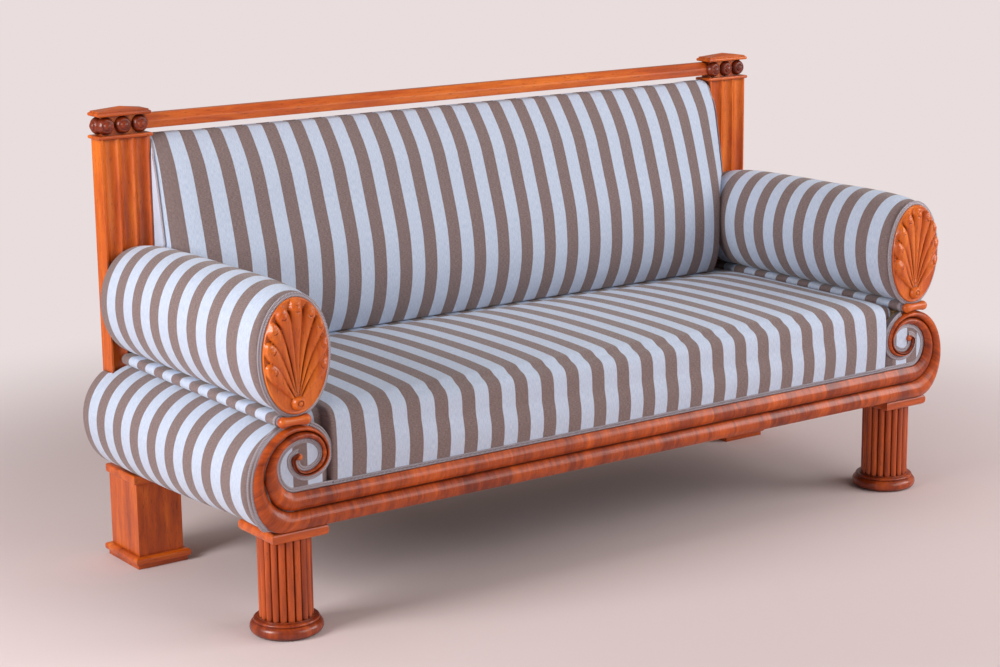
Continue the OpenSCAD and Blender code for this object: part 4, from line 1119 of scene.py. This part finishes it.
def makeSideRoll(name, side):
    drop, lead, taperTo = scroll["drop"], sideRoll["lead"][name], sideRoll["taper"][name]
    foot, edge, top = ((x * drop, z * drop) for x, z in scroll["outer"][:3])
    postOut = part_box("back_post_right")[1].x + 0.0003 - place["eyeX"]
    front, rear = groundY - lead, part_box("side_roll_" + name)[1].y
    length, atPost = rear - front, place["postFront"] - front
    abacusBack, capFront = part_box("front_abacus_right")[1].y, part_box("rear_pier_cap_right")[0].y
    frontRun = curveThrough(sideRoll["front"][name], 6)
    levels = sideRoll["wall"]
    scrollEdge = evenly(sideRoll["lap"] * np.array(edgeRun("outer", 0, 1, 24)), levels + 1)
    columns = sideRoll["columns"] + list(np.arange(0.058, atPost - 0.004, padding["net"]))
    columns += [atPost + y for y in (-0.0005, 0.0005, 0.012, 0.024, 0.036)]
    columns += [length - y for y in (0.007, 0.003, 0.001, 0)]
    rings, across = [], []
    for y in columns:
        taper = readAt(frontRun, y / taperTo) if y < taperTo else 1.0
        reach = edge[0] + taper * (sideRoll["reach"] - edge[0])
        turnedIn = max(0.0, 1 - (length - y) / sideRoll["end"])
        shrink = sideRoll["drawnIn"] * (1 - math.sqrt(1 - turnedIn ** 2))
        onWay = min(1.0, max(0.0, (front + y - abacusBack - 0.004) / (capFront - abacusBack)))
        sag = sideRoll["sag"] * (1 - (1 - onWay) ** 2)
        turns = [(sideRoll["topOut"], top[1] - shrink), (reach - shrink, edge[1]), (foot[0], foot[1] - sag)]
        steps = sideRoll["steps"]
        path = [onTurn(turns, 0, i / steps) for i in range(steps + 1)]
        path += [onTurn(turns, 1, i / steps) for i in range(1, steps + 1)]
        byPost = y > atPost
        inner = postOut if byPost else sideRoll["topOut"]
        path = [p for p in path if p[0] >= inner]
        if byPost:
            path = [(inner, readAt(path[:3], inner))] + path
        elif y >= lead:
            path.append((inner, foot[1] - sag))
        outer = [tuple(p) for p in evenly(path, sideRoll["around"])]
        wall = [(inner, outer[-1][1] + (outer[0][1] - outer[-1][1]) * i / levels) for i in range(1, levels)]
        if y < lead:
            wall = [tuple(p) for p in scrollEdge[1:levels]]
        rings.append([outTo(side, p[0], front + y, p[1]) for p in outer + wall])
        across.append(acrossStripes(front + y - place["frontY"], sideRoll["stripes"]))
    wallX = place["eyeX"] + sideRoll["topOut"]
    piece = makeCover("sideRoll_" + name, rings, netMaps(rings, across), sideRoll,
                      lambda p: (p[:, 1] < front + 0.003) | (p[:, 1] > place["postFront"] - 0.01)
                      | (np.abs(p[:, 0]) < wallX + 0.03))
    finishPiece(piece, "rep", "striped_fabric", "side_roll_" + name)


# Flat rolls between side rolls and bolsters
spacer = {"stripes": (0.0, 0.08), "end": {0: (0.93, 0.82), 1: (0.97, 0.95)}, "net": 0.009}


def spacerForm(name):
    # middle of a flat roll across, its radius, half its flat part, and the turn of one side
    low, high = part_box("arm_spacer_roll_" + name)
    r = (high.z - low.z) / 2
    turn = [math.radians(-90 + 15 * i) for i in range(13)]
    return (low.x + high.x) / 2, (low.z + high.z) / 2, r, (high.x - low.x) / 2 - r, turn


def makeSpacer(name, side):
    low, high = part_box("arm_spacer_roll_" + name)
    centreX, centreZ, r, flat, turn = spacerForm(name)
    section = [(flat + r * math.cos(a), r * math.sin(a)) for a in turn]
    section += [(flat - 2 * flat * i / 6, r) for i in range(1, 6)]
    section += [(-p[0], -p[1]) for p in section]
    rings, across = [], []
    length = high.y - low.y
    stops = [0, 0.0006, 0.002] + list(np.arange(0.006, length - 0.004, spacer["net"]))
    stops += [length - 0.002, length]
    for k, y in enumerate(stops):
        wide, tall = spacer["end"].get(0 if y == length else k, (1, 1))
        rings.append([(centreX + side * x * wide, low.y + y, centreZ + z * tall) for x, z in section])
        across.append(acrossStripes(y, spacer["stripes"]))
    piece = loft("spacerRoll_" + name, rings, "cloth", netMaps(rings, across))
    tidyMesh(piece, 60)
    finishPiece(piece, "rep", "striped_fabric", "arm_spacer_roll_" + name)


# Striped infill inside the scrolls
volute = {
    "puff": 0.0098,
    "onPuff": 0.93,  # share of the puff that the gimps lie on
    "rings": 22,
    "around": 180,
    "hub": (0.004, -0.01),
    "rise": 4,
    "stripes": seat["stripes"],
}


def makeVolute(name, side):
    low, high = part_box("volute_panel_" + name)
    drop, rail = scroll["drop"], scroll["railHeight"]
    uprightIn = (side * low.x if side > 0 else -high.x) - place["eyeX"]
    outline = [(uprightIn, -drop)] + edgeRun("outer", 0, 2, 22)
    outline += [(scroll["outer"][3][0] * drop, rail - drop + 0.0003), (uprightIn, rail - drop + 0.0003)]
    outline = evenly(outline, volute["around"], closed=True)
    rings, maps = [], []
    back, front = high.y, low.y
    hub = np.array(volute["hub"])
    stops = [(1.0, back), (1.0, front + 0.0008), (0.998, front)]
    stops += [(1 - i / volute["rings"], None) for i in range(1, volute["rings"] + 1)]
    for share, y in stops:
        ring, row = [], []
        for x, z in outline:
            px, pz = hub + (np.array((x, z)) - hub) * max(share, 0.004)
            depth = front - volute["puff"] * min(1.0, (1 - share) * volute["rise"]) if y is None else y
            ring.append(outTo(side, px, depth, pz))
            row.append((acrossStripes(side * (place["eyeX"] + px), volute["stripes"]), pz))
        rings.append(ring)
        maps.append(row + [row[0]])
    piece = loft("voluteInfill_" + name, rings, "cloth", maps)
    tidyMesh(piece, 60)
    finishPiece(piece, "rep", "striped_fabric", "volute_panel_" + name)


def sheetNet(name, sheet, wide, tall):
    # a level grid and the places of its points, counted from the middle
    bpy.ops.object.select_all(action="DESELECT")
    columns, rows = sheet["columns"], sheet["rows"]
    bpy.ops.mesh.primitive_grid_add(x_subdivisions=columns, y_subdivisions=rows, size=1, location=(0, 0, 0))
    piece = bpy.context.object
    piece.name = name
    net = meshPoints(piece.data)
    return piece, net[:, 0] * wide, net[:, 1] * tall


def finishSheet(piece, points, sheet, flipped=False):
    # sets the points and gives the sheet its thickness, behind the face that is seen
    piece.data.vertices.foreach_set("co", np.stack(points, 1).ravel())
    piece.data.update()
    if flipped:
        piece.data.flip_normals()
    choose(piece)
    wall = piece.modifiers.new("wall", "SOLIDIFY")
    wall.thickness = sheet["wall"]
    wall.offset = -1
    bpy.ops.object.modifier_apply(modifier="wall")
    bpy.ops.object.shade_smooth_by_angle(angle=math.radians(40))


# Cloth tacked over the outside of the back
outsideBack = {
    "columns": 80,
    "rows": 30,
    "sag": 0.0008,
    "reach": 0.05,  # how far from the edges the cloth is nearly as deep as in the middle
    "wall": 0.0011,
    "stripes": back["stripes"],
}


def makeOutsideBack():
    low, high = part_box("outside_back_cloth")
    wide, tall = high.x - low.x, high.z - low.z
    piece, x, z = sheetNet("outsideBackCloth", outsideBack, wide, tall)
    nearEdge = np.minimum(wide / 2 - np.abs(x), tall / 2 - np.abs(z))
    sunk = outsideBack["sag"] * (1 - np.exp(-nearEdge / outsideBack["reach"]))
    layer = piece.data.uv_layers[0]
    layer.name = "cloth"
    for loop in piece.data.loops:
        i = loop.vertex_index
        layer.data[loop.index].uv = (acrossStripes(x[i], outsideBack["stripes"]), low.z + tall / 2 + z[i])
    finishSheet(piece, (x, high.y - sunk, low.z + tall / 2 + z), outsideBack, flipped=True)
    finishPiece(piece, "rep", "striped_fabric", "outside_back_cloth")


# Black cloth tacked between the rails under the seat, hanging a little in the middle
dustCover = {"columns": 80, "rows": 32, "sag": 0.0032, "reach": 0.07, "wall": 0.0008}


def makeDustCover():
    low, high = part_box("dust_cover")
    wide, deep = high.x - low.x, high.y - low.y
    piece, x, y = sheetNet("dustCoverCloth", dustCover, wide, deep)
    nearEdge = np.minimum(wide / 2 - np.abs(x), deep / 2 - np.abs(y))
    sag = dustCover["sag"] * (1 - np.exp(-nearEdge / dustCover["reach"]))
    finishSheet(piece, (x, (low.y + high.y) / 2 + y, high.z - sag), dustCover)
    finishPiece(piece, "blackCloth", "black_cloth", "dust_cover")


makeSeat()
postSideRun = makeBack()
for name, side in ends.items():
    makeBolster(name, side)
    makeSideRoll(name, side)
    makeSpacer(name, side)
    makeVolute(name, side)
makeOutsideBack()
makeDustCover()
print("upholstery made")


# Gimps: narrow woven braids with a ribbed double row
braid = {
    "rib": gimp["rib"],
    "steps": 3,
    "rows": 2,
    "besidePlaque": 0.0046,
    "plaque": (0.0098, 0.0024),  # width and height of each run
    "outer": (0.0124, 0.0014),
    "inner": (0.0104, 0.0028),
    "spacer": (0.0085, 0.0012),
    "post": (0.0058, 0.0016),
    "seatHigh": 0.0044,
    "behind": 0.0068,  # how far the outer run lies behind the moulding's foot
    "lapBegins": (0.02, 0.12),  # shares of the outer run
    "lapEnds": (0.6, 0.72),
    "lapOut": 0.0061,
    "lapAhead": 0.0184,
    "lapTurned": 0.58,
    "besideInner": 0.0054,  # from the edges of the moulding, inside the scroll
    "besideOuter": 0.0052,
    "lead": (-0.077, -0.03),  # along the rail, before the first turn
    "skipped": 26,
    "seatEnd": -0.06,
    "ontoPuff": -0.045,
    "besideSeat": 0.0088,
    "seatAside": 0.45,
    "postAbove": 0.7,  # in half heights of a bolster
    "postBelow": 0.007,
    "besidePost": 0.0031,
    "postOver": (0.012, 0.004),
    "postIn": 0.0048,
}


def makeBraid(name, path, outs, wide, high, closed=False):
    # path runs along the middle of the braid's foot, outs point away from what it is glued to
    path = np.array(path, float)
    length = runLengths(np.vstack([path, path[:1]]) if closed else path)[-1]
    count = max(8, int(length / braid["rib"] * braid["steps"]))
    both = evenly(np.hstack([path, np.array(outs, float) * 0.0001]), count, closed)
    path, outs = both[:, :3], unit(both[:, 3:])
    if closed:
        ahead = np.roll(path, -1, axis=0) - np.roll(path, 1, axis=0)
    else:
        ahead = np.gradient(path, axis=0)
    sideways = unit(np.cross(unit(ahead), outs))
    shares = np.linspace(-1, 1, 4 * braid["rows"] + 1)
    rings, maps = [], []
    step = length / (len(path) if closed else len(path) - 1)
    for k in range(len(path)):
        at = k * step
        ring, row = [], []
        for share in shares:
            rise = high * (0.35 + 0.65 * abs(math.sin(math.pi * (share + 1) / 2 * braid["rows"])))
            rise *= 0.88 + 0.12 * math.cos(2 * math.pi * (at / braid["rib"] + abs(share)))
            ring.append(tuple(path[k] + sideways[k] * share * wide / 2 + outs[k] * rise))
            row.append((at, share))
        for share in (1, -1):
            ring.append(tuple(path[k] + sideways[k] * share * wide / 2))
            row.append((at, share))
        rings.append(ring)
        maps.append(row + [row[0]])
    if closed:
        rings.append(rings[0])
        maps.append([(length, v) for _, v in maps[0]])
    piece = loft(name, rings, "run", maps, capped=not closed)
    tidyMesh(piece, 70, 0.000002)
    return piece


def flatEdge(kind, first, last, offset=0.0, lead=()):
    # a run beside one edge of the scroll, moved off it by offset to the left of its way, and the
    # directions to its right
    run = evenly(list(lead) + edgeRun(kind, first, last, 16), 200)
    ahead = unit(np.gradient(run, axis=0))
    right = np.stack([ahead[:, 1], -ahead[:, 0]], 1)
    return run - right * offset, right


def plaqueGimp(name):
    # around the plaque, on the front of the bolster
    low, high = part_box("arm_plaque_" + name)
    centreX, centreZ = (low.x + high.x) / 2, high.z - plaque["halfHigh"]
    halfWide = (high.x - low.x) / 2 + braid["besidePlaque"]
    halfHigh = plaque["halfHigh"] + braid["besidePlaque"]
    turn = np.linspace(0, 2 * math.pi, 240, endpoint=False)
    foot = high.y - 0.0004
    path = [(centreX + halfWide * math.cos(a), foot, centreZ + halfHigh * math.sin(a)) for a in turn]
    outs = [(0.5 * math.cos(a), -1.0, 0.5 * math.sin(a)) for a in turn]
    return makeBraid("gimp", path, outs, *braid["plaque"], closed=True)


def outerGimp(name, side):
    # beside the outer edge of the scroll: where the left side roll laps over the moulding it lies
    # on the roll's front, and elsewhere just behind the moulding
    run, normals = flatEdge("outer", 0, 2)
    lapped = sideRoll["lead"][name] / sideRoll["lead"]["left"]
    path, outs = [], []
    for (x, z), (nx, nz), share in zip(run, normals, np.linspace(0, 1, len(run))):
        ahead = float(ease(*braid["lapBegins"], share) * (1 - ease(*braid["lapEnds"], share))) * lapped
        away, aside = braid["lapOut"] * ahead, 1 - braid["lapTurned"] * ahead
        y = groundY + braid["behind"] - braid["lapAhead"] * ahead
        path.append(outTo(side, x + nx * away, y, z + nz * away))
        outs.append((side * nx * aside, -ahead, nz * aside))
    return makeBraid("gimp", path, outs, *braid["outer"])


def innerGimps(side):
    # along the rail and the inner edge of the turns to the eye, and down the seat's end beside
    # the scroll and on round its last turn
    onPuff, railZ = volute["puff"] * volute["onPuff"], scroll["railHeight"] - scroll["drop"]
    first = flatEdge("inner", 0, 4, braid["besideInner"], [(x, railZ) for x in braid["lead"]])[0]
    second = flatEdge("outer", 2, 5, -braid["besideOuter"])[0][braid["skipped"]:]
    kinds = ((first, seat["front"], braid["lead"][0], 0),
             (second, braid["besideSeat"], braid["seatEnd"], braid["seatAside"]))
    made = []
    for run, rise, start, aside in kinds:
        onto = [float(ease(start, braid["ontoPuff"], x)) for x, z in run]
        path = [outTo(side, x, groundY - rise - (onPuff - rise) * on, z) for (x, z), on in zip(run, onto)]
        outs = [(-side * aside * (1 - on), -1, 0) for on in onto]
        made.append(makeBraid("gimp", path, outs, *braid["inner"]))
    return made


def spacerGimp(name):
    # round the front end of the flat roll
    centreX, centreZ, r, flat, turn = spacerForm(name)
    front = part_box("arm_spacer_roll_" + name)[0].y + 0.005
    loop = [(flat + r * math.cos(a), r * math.sin(a), math.cos(a), math.sin(a)) for a in turn]
    loop += [(-x, -z, -nx, -nz) for x, z, nx, nz in loop]
    path = [(centreX + x * 1.003, front, centreZ + z * 0.985) for x, z, _, _ in loop]
    outs = [(nx, 0, nz) for _, _, nx, nz in loop]
    return makeBraid("gimp", path, outs, *braid["spacer"], closed=True)


def postGimp(side):
    # up the back cushion beside the post: on its side, and over its front where that falls back
    _, ovalZ, _, ovalHigh = bolsterOval()
    front, besidePost = place["postFront"], place["postFront"] - braid["besidePost"]
    lowest, highest = ovalZ + ovalHigh * braid["postAbove"], place["postTop"] - braid["postBelow"]
    overFrom, overTo = (front - y for y in braid["postOver"])
    path, outs = [], []
    for x, y, z in postSideRun:
        if lowest < z < highest:
            over = float(ease(overFrom, overTo, y))
            start = min(besidePost, y)
            path.append((side * (x + 0.0002 - braid["postIn"] * over), start + over * (y - 0.0004 - start), z))
            outs.append((side * (1 - 0.8 * over), -0.15 - over, 0))
    return makeBraid("gimp", path, outs, *braid["post"])


def makeBraids():
    for name, side in ends.items():
        pieces = [plaqueGimp(name), outerGimp(name, side), *innerGimps(side), spacerGimp(name), postGimp(side)]
        finishPiece(joined("gimps_" + name, pieces), "gimp", "braid")
    # double welt along the foot of the seat
    low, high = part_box("seat_gimp")
    path = [(low.x + (high.x - low.x) * i / 40, high.y - 0.0002, (low.z + high.z) / 2) for i in range(41)]
    welt = makeBraid("seatWelt", path, [(0, -1, 0)] * len(path), high.z - low.z, braid["seatHigh"])
    finishPiece(welt, "gimp", "braid", "seat_gimp")


makeBraids()
print("braids made")

bpy.context.view_layer.update()
